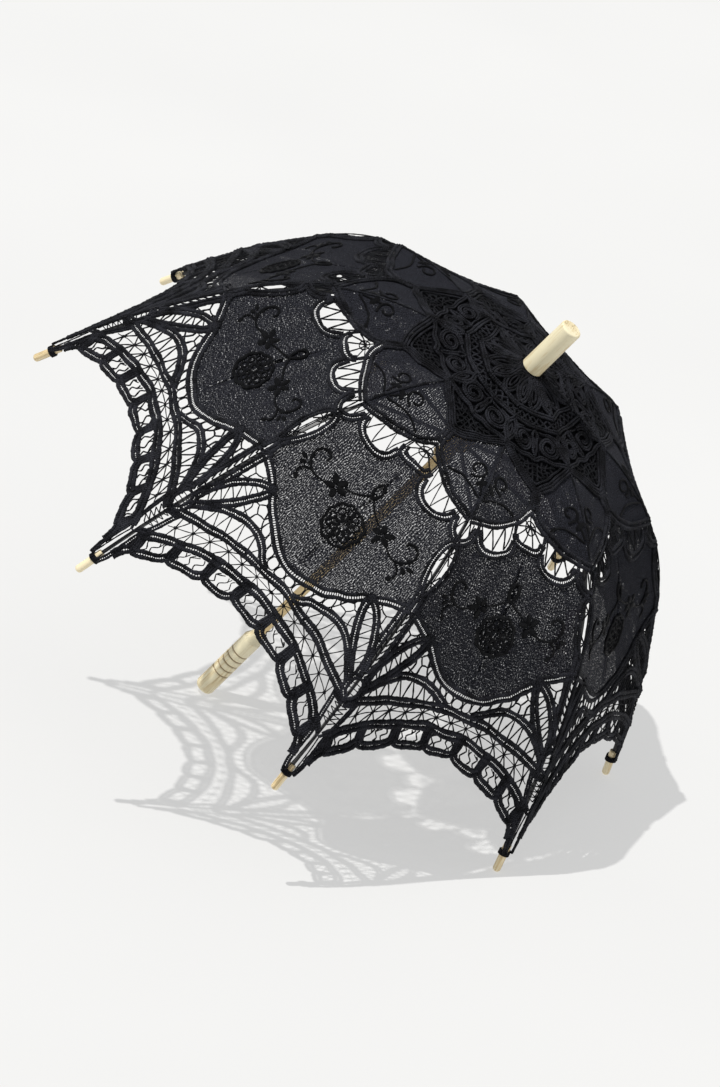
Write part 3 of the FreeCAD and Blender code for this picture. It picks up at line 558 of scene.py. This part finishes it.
def draw_petals():
    """The cotton petals on the ribs, their tape edge and their curled stitching."""
    edge = [(0, 191), (5.5, 197.5), (16, 209), (41, 222.5), (66, 229), beside_rib(0, 231.5)]
    cusp = [(34, 135), (18, 153.5), (5, 167), (3.6, 185)]
    cotton.cloth(list(smooth(edge[1:], 5)) + rib_edge(226, PETAL_TOP) + cusp, closeness_and_shade=-0.05)
    tapes.tape(edge, 10.4, 0.8, openness=0.03)
    tapes.strand([(3.2, 163), (4.2, 175), (4, 186), (6, 194)], 2.1, 1.1)
    tapes.strand([(0, 166), (0.6, 178), (0.4, 190)], 1.9, 0.9)
    tapes.strand(rib_edge(122, 232, 0.3), 0.9, 0.7)
    for y in (171, 177, 183):
        threads.thread([(0.4, y), (3.2, y + 2)], 0.9)
    # A curl, a leaf and a long stem on each side of the rib.
    middle = np.array(beside_rib(15, 178))
    curl = [(-1.5, 4.5), (-6.5, 3), (-8, -2.5), (-4.5, -8), (2, -8.2), (6.8, -3.5), (6.8, 3.5),
            (3, 8.5), (-2.5, 12)]
    stitches.strand(middle + curl, 1.44, 0.6, 2)
    stitches.pad(beside_rib(7, 189), math.radians(118), 14.9, 7.1, 1.3)
    stitches.strand(beside((3, 202), (6, 192), (8.5, 182)), 1.25, 0.5, 2)
    stitches.strand(beside((4, 206), (17, 201), (30, 199), (43, 203)), 1.31, 0.5, 2)
    stitches.pad(beside_rib(46, 205), math.radians(150), 9.2, 4.2, 0.9)


def draw_eyes():
    """The ring of open eyes between the petals and the medallions."""
    # Half of the star eye on the panel's middle line.
    tapes.tape([(0, 236), (8, 236), (15.5, 233.5), (18.5, 226)], 9.6, 0.7, openness=0.025)
    tapes.band([(18.6, 210), (19.2, 224), (18.8, 240)], 4.4, 1.1, 2)
    for end in ((0, 195), (10.5, 205.5), (16.5, 215.5), (15.5, 225.5), (6, 231.5)):
        threads.thread([(0, 213), end], EYE_THREAD)
    threads.cord(oval((0, 213), 1.9, 1.9, 8), 0.9, 0.5, sides=4, closed=True)
    threads.thread([(0, 206), (5.5, 209.5), (6.8, 215.5), (3, 220.5), (0, 221)], FINE_THREAD)
    # The side eye, flat side to the petal.
    eye = [(18.6, 236), (22.5, 249), (31, 257), (43, 260), (56, 258), (65.5, 249.5), (68.6, 238)]
    tapes.tape(eye, 10.4, 0.7, openness=0.025)
    tapes.band([(68, 226), (69.2, 236), (69.6, 248)], 4.4, 1.1, 2)
    flat = smooth([(22, 216), (41, 226), (65, 232)])
    lower = smooth([(24, 243), (33, 251.5), (44, 255), (56, 252), (64, 242)])
    zigzag(flat, lower, 3)
    # Half of the eye on the rib.
    tapes.tape([(70, 240)] + beside((14.5, 250), (9.5, 258), (0, 262)), 9.6, 0.7)
    stays = beside((9, 236), (9.5, 251), (3, 235), (0, 257))
    for i in range(3):
        threads.thread(stays[i:i + 2], EYE_THREAD)


def draw_medallion():
    """The large cotton medallion with its tape edge and the long eye on the rib."""
    top = [(0, 238.5), (10, 238.5), (17.5, 238), (21.5, 250.5), (30, 259.5), (43, 263), (58, 260.5),
           (68.5, 253), (72, 251.5), beside_rib(12, 261)]
    side = beside((6.5, 266), (11.5, 280), (13.5, 296), (12, 312), (7, 328), (3, 338))
    bottom = [beside_rib(2, 346), (96, 355.5), (76, 367.5), (66, 376.5), (54, 389), (38, 400.5),
              (20, 408.5), (0, 411)]
    outline = list(smooth(top, 5)) + list(smooth(side, 5)) + list(smooth(bottom, 5))
    cotton.cloth(outline)
    # The tape about the long eye, and the eye's threads.
    lens = beside((0, 262), (8, 273), (11.6, 295), (8, 317), (1.8, 333))
    tapes.tape(lens, 8.2, 0.9)
    threads.thread(beside((0, 264), (0.4, 295), (0, 330)), 0.7, 1.2)
    for node in (279, 313):
        for reach, along in ((6.2, -9), (8.6, 2), (6.4, 11)):
            threads.thread(beside((0, node), (reach, node + along)), EYE_THREAD)
    tapes.strand(beside((1.2, 331), (2, 340), (2.6, 350)), 2.2, 1.3)
    tapes.strand(beside((5.6, 322), (6, 336), (6.6, 349)), 2.2, 1.1)
    # Tape A, the medallion's lower edge: its cusp carries a knot.
    straight = [beside_rib(0.5, 349), (95, 359), (76, 371)]
    lobe = [(77.5, 369.5), (68, 379.5), (56, 392), (39, 404.5), (20, 412.5), (0, 415.5)]
    tapes.tape(straight, 11, 0.9, openness=0.02)
    tapes.tape(lobe, 11.6, 0.9, openness=0.025)
    for angle in (20, 65, 110, 155):
        turn = math.radians(angle)
        tapes.strand([away((76, 370.5), -5.4, turn), away((76, 370.5), 5.4, turn)], 2.3, 1.7, 2.5)


def draw_flowers():
    """The stitched wheel, flowers, leaves and hooks on a medallion."""
    hub = (0, 342)
    rim = []
    for angle in np.linspace(-math.pi / 2, math.pi / 2, 37):
        rim.append(away(hub, 20.6 + 2.0 * abs(math.cos(5 * angle)), angle))
    stitches.cord(np.array(rim), 2.1, 0.8)
    for i in range(5):
        turn = math.radians(-72 + 36 * i)
        stitches.cord(oval(away(hub, 14.4, turn), 3.5, 3.5), 1.15, 0.6, closed=True)
        stitches.pad(away(hub, 8, turn), turn, 6.4, 4, 1.2)
    for y in (322, 352):
        stitches.strand([(0, y), (0.3, y + 5), (0, y + 10)], 1.25, 0.6)
    ring = [(0, 337.2), (3.8, 338.8), (5.2, 342), (3.8, 345.2), (0, 346.8)]
    stitches.strand(ring, 1.25, 0.6, 1.6)
    # A five-petal flower, its stem to the loop and its stem to the side leaves.
    flower = (35, 318)
    for i in range(5):
        turn = math.radians(100 + 72 * i)
        stitches.pad(away(flower, 7.6 if i else 8.6, turn), turn, 12.8, 7.8, 1.7)
    stitches.strand([(27.5, 314), (19, 310.5), (9, 304.5), (1.2, 297.5)], 1.25, 0.5, 2)
    stitches.strand([(0, 299), (3.6, 293), (4.8, 286.5), (2.8, 280.5), (0, 279)], 1.88, 0.7, 1.8)
    stitches.strand([(42, 321), (52, 326.5), (63, 327), (73, 322.5)], 1.38, 0.5, 2)
    hook = [(66, 326), (73, 319), (75.5, 310), (73, 301.5), (66.5, 298.5), (61, 301.5),
            (60.5, 306.5)]
    stitches.strand(hook, 1.69, 0.7, 2)
    for x, y, angle, length in ((81, 321.5, -8, 9), (77.5, 327.5, 38, 8), (74, 315.5, 60, 6)):
        stitches.pad((x, y), math.radians(angle), length, 5.4, 1.4)
    stitches.strand([(66, 327), (72.5, 331), (75.5, 337), (73, 342.5)], 1.38, 0.5, 2)
    stitches.pad((72, 344), math.radians(120), 7.5, 5.2, 1.1)


def draw_border():
    """The open tape lace below the medallions, out to the scalloped edge."""
    tape_c = [(0, 437), (31, 439), (61.5, 443.5), (92, 451.5), beside_rib(10, 463)]
    tape_d = [(0, 460.5), (20, 461), (41, 464), (70, 472), (98, 484.5), (123, 500),
              beside_rib(11, 511)]
    arch = [(19, 435.5), (30, 429), (41, 421.5), (57, 415.5), (77, 416.5), (98, 426.5),
            beside_rib(10, 449)]
    leaf_out = [(77, 371), (90, 378), (101, 388), (112, 403), (119.5, 417), beside_rib(3.5, 431)]
    leaf_in = [(74, 373), (78, 386), (87, 402), (98, 418), (110, 434), beside_rib(8.5, 452)]
    for line, width in ((tape_c, 11.4), (tape_d, 11.4), (arch, 10.8), (leaf_out, 9.8),
                        (leaf_in, 10.6)):
        tapes.tape(line, width, 0.9)
    # Zigzags inside the leaf and under the arch, from a little way along their tapes.
    zigzag(smooth(leaf_out)[4:], smooth(leaf_in)[4:], 6)
    zigzag(smooth(arch)[4:], smooth([(24, 440), (61, 445), (92, 452), beside_rib(14, 460)]), 7)
    # A row of round cells and a honeycomb under the medallion.
    cells(smooth([(0, 421), (20, 418), (39, 410), (55, 398.5)]),
          smooth([(0, 431), (14, 431.5), (24, 427), (38, 418), (57, 409.5)]), 5)
    comb = [[(56, 409), (60, 401), (56, 395.5)], [(56, 409), (60, 414.5)],
            [(60, 401), (68, 401.5), (70, 412)], [(68, 401.5), (73, 393.5), (68, 389), (68, 383)],
            [(60, 401), (62, 393), (68, 389)], [(73, 393.5), (81, 394)],
            [(70, 412), (79, 409.5), (88, 405)], [(79, 409.5), (80, 416.5)],
            [(88, 405), (90, 421.5)], [(79, 409.5), (77, 401), (81, 394)]]
    # The net between the rib tapes and the leaf, kept clear of the tapes.
    web = [[(88, 365.5), (92, 371.5), (101, 373.5), (107, 368), (113.5, 369)],
           [(92, 371.5), (90, 377)], [(101, 373.5), (103, 384), (98, 388)],
           [(107, 368), (104, 357)], [(113.5, 369), (114, 358)],
           [(103, 384), (110, 386.5), (117, 381)], [(110, 386.5), (110, 397)],
           [(113.5, 369), (119, 372)], [(118, 393), (112, 401)], [(117, 381), (121, 386)],
           [(118, 393), (124, 396)], [(118, 393), (117, 381)]]
    for line in comb + web:
        threads.thread([(min(x, beside_rib(5.5, y)[0]), y) for x, y in line], WEB_THREAD)
    threads.thread([(87.8, 367.4), (88.7, 369.825), (89.6, 372.25)], 0.8)
    # The net of stars between tapes C and D.
    middle = smooth([(0, 448.5), (31, 449.5), (55, 453), (80, 460), (105, 471), (122, 482)])
    threads.cord(middle, 0.7, 0.3, sides=4)
    upper = smooth([(0, 441), (31, 443), (61, 447.5), (92, 455.5), (124, 467)])
    lower = smooth([(0, 457), (41, 460), (70, 468), (98, 480.5), (124, 495.5)])
    for i in range(7):
        share = i / 6.4
        node = at_share(middle, share)
        for shift in (-0.075, 0, 0.075):
            if 0.0 <= share + shift <= 1.0:
                threads.thread([node, at_share(upper, share + shift)], FINE_THREAD)
                threads.thread([node, at_share(lower, share + shift)], FINE_THREAD)
        threads.cord(oval(node, 1.5, 1.3, 6), 0.77, 0.5, sides=4, closed=True)
    # The outer row of cells and its scalloped edge.
    stops = [(20.5, 461.5, 483.5), (59.5, 469.5, 493.5), (97.5, 485, 508.5), (130, 506, 530.5)]
    for x, high, low in stops:
        lean = x / 150 * 5 * 0.5
        block((x + lean, high - 3), (x - lean, low - 1), 11, radius=1.7)
    scallops = [[(0, 484), (12, 484), (20.5, 479.5)],
                [(20.5, 480), (27, 486.5), (42, 490.5), (53, 492), (59.5, 489)],
                [(59.5, 489.5), (66, 497), (80, 503), (91, 507), (97.5, 505)],
                [(97.5, 505.5), (104, 513.5), (115, 521), (124, 527), (130, 527.5)],
                [(130, 527.5), (136, 537), beside_rib(10.2, 547.5)]]
    for line in scallops:
        tapes.tape(line, 10.8, 0.9)
    windows = [([(2, 465), (15, 465.5)], [(2, 480), (15, 479)]),
               ([(26, 467), (54, 474)], [(26, 481.5), (54, 487.5)]),
               ([(65, 476.5), (92, 487.5)], [(65, 491.5), (92, 502.5)]),
               ([(103, 492), (125, 506.5)], [(103, 508), (125, 522.5)])]
    for number, (high, low) in enumerate(windows):
        high, low = smooth(high), smooth(low)
        waves = 2 if number == 0 else 3
        for j in range(waves):
            share = (j + 0.5) / waves
            one, two = at_share(high, share), at_share(low, min(1, share + 0.06))
            sway = 2.4 if (j + number) % 2 else -2.4
            bend, back = one * 0.7 + two * 0.3 + (sway, 0), one * 0.3 + two * 0.7 + (-sway, 0)
            threads.thread([one, bend, back, two], EYE_THREAD, step=3)
            if j:
                threads.thread([bend, at_share(high, share - 0.16)], FINE_THREAD)


def draw_rib_work():
    """The tapes and chevrons beside a rib, its loop, and the wrapping at its tip."""
    tapes.tape(beside((7.2, 346), (7.4, 388), (7.2, 426), (6, 440)), 8.6, 0.9)
    for i in range(9):
        low = 352 + 9.0 * i
        threads.thread(beside((0, low + 7.5), (4, low)), EYE_THREAD)
    loop = beside((0, 436), (7, 440.5), (9.6, 450.5), (8, 460.5), (0, 466))
    tapes.tape(loop, 8.6, 1.3)
    for y in (445, 451, 457):
        threads.thread(beside((0, y), (6.6, y + 2)), FINE_THREAD)
    block(beside_rib(15.5, 466.5), beside_rib(0, 469.5), 8.4)
    side = beside((14.5, 465), (12.5, 485), (10.2, 502), (8.6, 515), (9, 530), (9, 545), (8.2, 556),
                  (5.6, 565))
    tapes.tape(side, 6.2, 1)
    tapes.strand(beside((13, 498), (7, 503), (1.5, 509)), 1.9, 1.2)
    tapes.strand(beside((14, 505), (7, 508), (0.4, 514)), 1.9, 1.2)
    for i in range(4):
        y = 474.5 + 6.5 * i
        threads.thread(beside((0, y + 4), (8.6, y)), 0.78)
        threads.thread(beside((8.6, y), (0, y - 1.5)), 0.74)
    threads.thread(beside((1.4, 514), (3, 532), (3.8, 563)), 0.75, 0.9)
    # The wrapping that ties the lace to the wooden peg.
    for i in range(4):
        y = WRAP_START + 1.6 * i
        curve, heights = [], []
        for j, angle in enumerate(np.linspace(math.pi / 2, -math.pi / 2, 9)):
            # A place on the circle round the peg, and then its distance from the rib and its
            # height above the panel, which leans beside the rib.
            out = WRAP_RADIUS * math.cos(angle)
            up = PEG_HEIGHT + WRAP_RADIUS * math.sin(angle)
            distance = out * math.cos(HALF_STEP) - up * math.sin(HALF_STEP)
            curve.append(beside_rib(distance, y + 0.12 * j))
            heights.append(out * math.sin(HALF_STEP) + up * math.cos(HALF_STEP))
        tapes.wrap(np.array(curve), np.array(heights), 1)


draw_crown()
draw_petals()
draw_eyes()
draw_medallion()
draw_flowers()
draw_border()
draw_rib_work()


# --------------------
# Materials

class Shader:
    """A material's nodes, made one at a time and linked by name."""

    def __init__(self, name):
        self.material = bpy.data.materials.new(name)
        self.material.use_nodes = True
        self.tree = self.material.node_tree
        self.surface = self.tree.nodes["Principled BSDF"]

    def node(self, kind, settings=None, **inputs):
        made = self.tree.nodes.new(kind)
        for key, value in (settings or {}).items():
            setattr(made, key, value)
        for key, value in inputs.items():
            self.put(made, key.replace("_", " "), value)
        return made

    def put(self, made, key, value):
        socket = made.inputs[int(key[1:])] if key[0] == "#" else made.inputs[key]
        if isinstance(value, bpy.types.NodeSocket):
            self.tree.links.new(value, socket)
        else:
            socket.default_value = value

    def maths(self, operation, first, second=0.0):
        made = self.tree.nodes.new("ShaderNodeMath")
        made.operation = operation
        self.put(made, "#0", first)
        self.put(made, "#1", second)
        return made.outputs[0]

    def times(self, first, second):
        return self.maths("MULTIPLY", first, second)

    def plus(self, first, second):
        return self.maths("ADD", first, second)

    def mixed(self, *weighted):
        """The sum of some values, each times its weight."""
        total = self.times(*weighted[0])
        for value, weight in weighted[1:]:
            total = self.plus(total, self.times(value, weight))
        return total

    def spread(self, value, low, high, at_low, at_high):
        """A value between low and high, spread between two other values and held there."""
        made = self.node("ShaderNodeMapRange", Value=value, From_Min=low, From_Max=high,
                         To_Min=at_low, To_Max=at_high)
        return made.outputs["Result"]

    def place(self):
        return self.node("ShaderNodeTexCoord").outputs["Object"]

    def yarn(self):
        """What the lace's meshes hold: a place on the yarn (mm), and its three parts."""
        yarn = self.node("ShaderNodeAttribute", {"attribute_name": "yarn"}).outputs["Vector"]
        parts = self.node("ShaderNodeSeparateXYZ", Vector=yarn).outputs
        return yarn, parts["X"], parts["Y"], parts["Z"]

    def ramp(self, factor, *stops):
        made = self.tree.nodes.new("ShaderNodeValToRGB")
        self.put(made, "Fac", factor)
        for i, (place, colour) in enumerate(stops):
            if i > 1:
                made.color_ramp.elements.new(place)
            made.color_ramp.elements[i].position = place
            made.color_ramp.elements[i].color = (*colour, 1.0)
        return made.outputs["Color"]

    def noise(self, vector, scale, detail=3.0, roughness=0.5):
        """An uneven value: its scale is per metre, or per millimetre of a yarn."""
        made = self.node("ShaderNodeTexNoise", Vector=vector, Scale=scale, Detail=detail,
                         Roughness=roughness)
        return made.outputs["Fac"]

    def stretched(self, vector, scale):
        made = self.node("ShaderNodeMapping", Vector=vector)
        made.inputs["Scale"].default_value = scale
        return made.outputs["Vector"]

    def bump(self, height, strength, distance):
        made = self.node("ShaderNodeBump", Height=height, Strength=strength, Distance=distance)
        self.put(self.surface, "Normal", made.outputs["Normal"])

    def finish(self, **inputs):
        for key, value in inputs.items():
            self.put(self.surface, key.replace("_", " "), value)
        return self.material


def yarn_material(name, dark, light, twist, roughness):
    """Black thread or braid: fine slanting strands along each cord, a little fuzz and lint."""
    shader = Shader(name)
    _, along, around, _ = shader.yarn()
    # Two strands lie round each cord, and along it one passes in every twist (mm).
    turns = shader.times(around, 2 * math.pi * 2)
    strands = shader.maths("SINE", shader.plus(turns, shader.times(along, 2 * math.pi / twist)))
    place = shader.place()
    lint = shader.noise(place, 900.0, 4.0, 0.7)
    cloud = shader.noise(place, 60.0, 2.0)
    tone = shader.mixed((lint, 0.65), (cloud, 0.35))
    shader.bump(shader.mixed((strands, 0.5), (lint, 0.8)), 0.8, 0.0010)
    return shader.finish(
        Base_Color=shader.ramp(tone, (0.44, dark), (0.60, light)), Roughness=roughness,
        Sheen_Weight=0.03, Sheen_Roughness=0.45, Sheen_Tint=(0.5, 0.5, 0.55, 1.0),
        Specular_IOR_Level=0.1)


def cotton_material():
    """Loosely woven black cotton: short uneven yarns with light coming through between them.

    Each piece has two faces, and the same gaps in both, so that less comes through at a slant.
    """
    shader = Shader("lace_cotton")
    yarn, across, along, closeness_and_shade = shader.yarn()
    # The yarns lie in two directions, a little over two millimetres apart, and wander slowly.
    patches = shader.noise(yarn, 0.05, 2.0)
    drift = shader.times(patches, 30.0)
    warp = shader.maths("SINE", shader.plus(shader.times(across, 2.75), drift))
    weft = shader.maths("SINE", shader.plus(shader.times(along, 2.95), drift))
    breaks = shader.noise(shader.stretched(yarn, (1.1, 0.42, 1.0)), 1.0, 2.0, 0.6)
    furrow = shader.maths("MAXIMUM", warp, shader.plus(weft, -0.25))
    loose = shader.mixed((furrow, 0.22), (breaks, 0.95), (patches, 0.12))
    # Where the work is loose enough there is a gap, but none in the crown's sheet of painted shade.
    open_and_unshaded = shader.maths("SUBTRACT", 1.0, closeness_and_shade)
    gap = shader.times(shader.spread(loose, 0.665, 0.85, 0.0, 0.95), open_and_unshaded)
    cover = shader.maths("SUBTRACT", 1.0, gap)
    # Painted shade: the crown's closed sheet takes the darkest colour here.
    colour = shader.ramp(shader.times(breaks, open_and_unshaded), (0.38, COTTON_DARK), (0.62, COTTON_LIGHT))
    shader.bump(shader.plus(weft, warp), 0.3, 0.0004)
    return shader.finish(
        Base_Color=colour, Alpha=cover, Roughness=0.95, Sheen_Weight=0.03, Sheen_Roughness=0.5,
        Sheen_Tint=(0.5, 0.5, 0.56, 1.0), Specular_IOR_Level=0.08)


def wood_material(name, colours, axis, roughness, coat, first_ring=None):
    """Fine-grained pale wood, its grain running along an axis; turned rings get painted shade as
    thin brown lines.
    """
    shader = Shader(name)
    pale, deep = colours
    place = shader.place()
    along = shader.node("ShaderNodeVectorMath", {"operation": "DOT_PRODUCT"})
    shader.put(along, "#0", place)
    along.inputs[1].default_value = axis
    # Taking most of the run along the grain out of the position stretches the pattern that way.
    run = shader.node("ShaderNodeVectorMath", {"operation": "SCALE"})
    run.inputs[0].default_value = axis
    shader.put(run, "Scale", shader.times(along.outputs["Value"], -0.94))
    moved = shader.node("ShaderNodeVectorMath", {"operation": "ADD"})
    shader.put(moved, "#0", place)
    shader.put(moved, "#1", run.outputs["Vector"])
    grain = moved.outputs["Vector"]
    streaks = shader.noise(grain, 420.0, 5.0, 0.65)
    bands = shader.noise(grain, 70.0, 2.0)
    pores = shader.noise(grain, 1500.0, 2.0)
    stains = shader.noise(place, 22.0, 3.0, 0.6)
    tone = shader.mixed((streaks, 0.45), (bands, 0.4), (stains, 0.2))
    middle = tuple((a + b) / 2 for a, b in zip(pale, deep))
    burnt = tuple(a * 0.55 for a in deep)
    colour = shader.ramp(tone, (0.42, burnt), (0.46, deep), (0.51, middle), (0.55, pale))
    if first_ring is not None:
        # Painted shade in the grooves: brown lines one step apart, on the five turned rings only.
        past = shader.maths("SUBTRACT", along.outputs["Value"], first_ring)
        nearest = shader.maths("PINGPONG", past, RING_STEP / 2)
        line = shader.spread(nearest, 0.0003, 0.0012, 0.8, 0.0)
        centred = shader.maths("ABSOLUTE", shader.maths("SUBTRACT", past, 2 * RING_STEP))
        inside = shader.maths("LESS_THAN", centred, 2.4 * RING_STEP)
        mix = shader.node("ShaderNodeMix", {"data_type": "RGBA"})
        shader.put(mix, "#0", shader.times(line, inside))
        shader.put(mix, "#6", colour)
        mix.inputs[7].default_value = GROOVE_SHADE_BROWN
        colour = mix.outputs[2]
    shader.bump(shader.mixed((streaks, 0.6), (pores, 0.5)), 0.16, 0.0004)
    gloss = shader.plus(roughness - 0.08, shader.times(pores, 0.16))
    return shader.finish(Base_Color=colour, Roughness=gloss, Coat_Weight=coat, Coat_Roughness=0.3,
                         Specular_IOR_Level=0.4)


def metal_material(name, colour, roughness):
    """Drawn steel wire with fine scratches and a little tarnish."""
    shader = Shader(name)
    place = shader.place()
    scratches = shader.noise(place, 1800.0)
    tarnish = shader.noise(place, 160.0, roughness=0.6)
    dull = tuple(c * 0.55 for c in colour)
    shader.bump(scratches, 0.1, 0.0002)
    return shader.finish(Base_Color=shader.ramp(tarnish, (0.35, dull), (0.6, colour)), Metallic=1.0,
                         Roughness=shader.plus(roughness, shader.times(scratches, 0.2)))


def enamel_material():
    """Thin black enamel on the steel ribs and stretchers, a little worn."""
    shader = Shader("black_enamel")
    wear = shader.noise(shader.place(), 240.0, 4.0, 0.65)
    shader.bump(wear, 0.1, 0.0002)
    return shader.finish(Base_Color=shader.ramp(wear, (0.55, ENAMEL_BLACK), (0.72, ENAMEL_WORN)),
                         Roughness=0.38)


# Colours are linear red, green and blue: the yarns' dark and light, the woods' pale and deep.
BRAID_DARK, BRAID_LIGHT = (0.0018, 0.0019, 0.0026), (0.030, 0.031, 0.039)
THREAD_DARK, THREAD_LIGHT = (0.003, 0.0032, 0.0043), (0.018, 0.019, 0.023)
SATIN_DARK, SATIN_LIGHT = (0.0022, 0.0023, 0.0030), (0.007, 0.0073, 0.009)
COTTON_DARK, COTTON_LIGHT = (0.004, 0.0042, 0.0055), (0.030, 0.031, 0.040)
TURNED_WOOD = ((0.95, 0.86, 0.60), (0.78, 0.63, 0.36))
SHAFT_WOOD = ((0.84, 0.64, 0.33), (0.62, 0.42, 0.17))
HUB_WOOD = ((0.80, 0.63, 0.36), (0.60, 0.43, 0.20))
PEG_WOOD = ((0.92, 0.80, 0.54), (0.74, 0.57, 0.31))
# Painted shade for the grooves of the handle's turned rings.
GROOVE_SHADE_BROWN = (0.22, 0.11, 0.035, 1.0)
STEEL_GREY = (0.60, 0.60, 0.58)
ENAMEL_BLACK, ENAMEL_WORN = (0.010, 0.010, 0.011), (0.06, 0.06, 0.06)

BLACK_BRAID = yarn_material("lace_tape", BRAID_DARK, BRAID_LIGHT, 2.6, 0.7)
BLACK_THREAD = yarn_material("lace_thread", THREAD_DARK, THREAD_LIGHT, 1.6, 0.8)
BLACK_SATIN = yarn_material("lace_satin", SATIN_DARK, SATIN_LIGHT, 0.9, 0.6)
BLACK_COTTON = cotton_material()

GRAIN = tuple(SHAFT_UP)
HUB_LOOK = wood_material("hub_wood", HUB_WOOD, GRAIN, 0.5, 0.05)
STEEL = metal_material("steel_wire", STEEL_GREY, 0.28)
ENAMEL = enamel_material()
# The looks of single nodes. The pins are steel, and the ribs and stretchers are enamelled.
NODE_LOOKS = {
    "ferrule": wood_material("pale_turned_wood", TURNED_WOOD, GRAIN, 0.42, 0.15),
    "shaft": wood_material("shaft_wood", SHAFT_WOOD, GRAIN, 0.45, 0.1),
    "crown": HUB_LOOK, "runner": HUB_LOOK,
    "crown_wire": STEEL, "stop_pin": STEEL, "catch_spring": STEEL,
}
for name, node in frame["nodes"].items():
    if name.startswith("gore_"):
        continue
    if name == "handle":
        handle_end = min(vertex.co.dot(SHAFT_UP) for vertex in node.data.vertices)
        look = wood_material("handle_wood", TURNED_WOOD, GRAIN, 0.42, 0.15, handle_end + FIRST_RING)
    elif name.startswith("tip_"):
        # A peg's grain follows the end of its rib.
        rib = int(name.rsplit("_", 1)[1]) - 1
        run = (RIB_OUT[rib] * 0.38 - SHAFT_UP).normalized()
        look = wood_material("wood_" + name, PEG_WOOD, tuple(run), 0.4, 0.2)
    elif name.startswith(("rib_pin", "foot_pin")):
        look = STEEL
    else:
        look = NODE_LOOKS.get(name, ENAMEL)
    node.data.materials.clear()
    node.data.materials.append(look)

# --------------------
# Lay the lace, rib by rib.

cut_width = 2 * float(half_width(WIDEST)) * MM
for rib in range(RIBS):
    body = "rib_%d" % (rib + 1)
    sheet = cotton.lay("cotton_%d" % (rib + 1), rib, BLACK_COTTON)
    lower = cotton.lay("cotton_under_%d" % (rib + 1), rib, BLACK_COTTON, -CLOTH_DEPTH)
    tape = tapes.lay("tape_lace_%d" % (rib + 1), rib, BLACK_BRAID)
    net = threads.lay("thread_net_%d" % (rib + 1), rib, BLACK_THREAD)
    satin = stitches.lay("embroidery_%d" % (rib + 1), rib, BLACK_SATIN)
    for piece in (sheet, lower, tape, net, satin):
        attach(piece, body)
        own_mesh(piece)
    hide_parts("gore_%d" % (rib + 1))

# --------------------
# The floor, the light and the camera.

FLOOR_REACH = 40.0
FLOOR_DARK, FLOOR_LIGHT = (0.292, 0.292, 0.290), (0.308, 0.308, 0.305)
FLOOR_GLOW = (1.0, 0.998, 0.99, 1.0)
SUN_DIRECTION = Vector((0.21, -0.23, -0.95))
SUN_COLOUR = (1.0, 0.985, 0.96)
SKY_COLOUR = (0.96, 0.98, 1.0, 1.0)
CAMERA_PLACE = Vector((-5.5949, -2.0952, 2.8965))
CAMERA_RIGHT = Vector((0.4161, -0.8912, 0.1805))
CAMERA_BACK = Vector((-0.8564, -0.3174, 0.4072))

floor_mesh = bpy.data.meshes.new("floor")
corners = [(-1, -1), (1, -1), (1, 1), (-1, 1)]
floor_mesh.from_pydata([(x * FLOOR_REACH, y * FLOOR_REACH, 0.0) for x, y in corners], [],
                       [(0, 1, 2, 3)])
floor = new_object("floor", floor_mesh)
floor_shader = Shader("pale_floor")
floor_tone = floor_shader.ramp(floor_shader.noise(floor_shader.place(), 1.6, 2.0),
                               (0.3, FLOOR_DARK), (0.7, FLOOR_LIGHT))
floor_mesh.materials.append(floor_shader.finish(
    Base_Color=floor_tone, Roughness=0.95, Specular_IOR_Level=0.0, Emission_Color=FLOOR_GLOW,
    Emission_Strength=0.52))

sun_light = bpy.data.lights.new("sun", "SUN")
sun_light.energy = 3.0
sun_light.angle = math.radians(0.8)
sun_light.color = SUN_COLOUR
sun = new_object("sun", sun_light)
sun.rotation_euler = SUN_DIRECTION.to_track_quat("-Z", "Y").to_euler()

world = bpy.data.worlds.new("studio")
world.use_nodes = True
sky = world.node_tree.nodes["Background"].inputs
sky["Color"].default_value = SKY_COLOUR
sky["Strength"].default_value = 0.45
bpy.context.scene.world = world

camera_data = bpy.data.cameras.new("camera")
camera_data.sensor_fit = "VERTICAL"
camera_data.sensor_height = 36.0
camera_data.lens = 198.7
camera_data.clip_end = 60.0
camera = new_object("camera", camera_data)
camera_up = CAMERA_BACK.cross(CAMERA_RIGHT)
turn = Matrix((CAMERA_RIGHT, camera_up, CAMERA_BACK)).transposed().to_4x4()
camera.matrix_world = Matrix.Translation(CAMERA_PLACE) @ turn
bpy.context.scene.camera = camera
bpy.context.scene.view_settings.view_transform = "Standard"
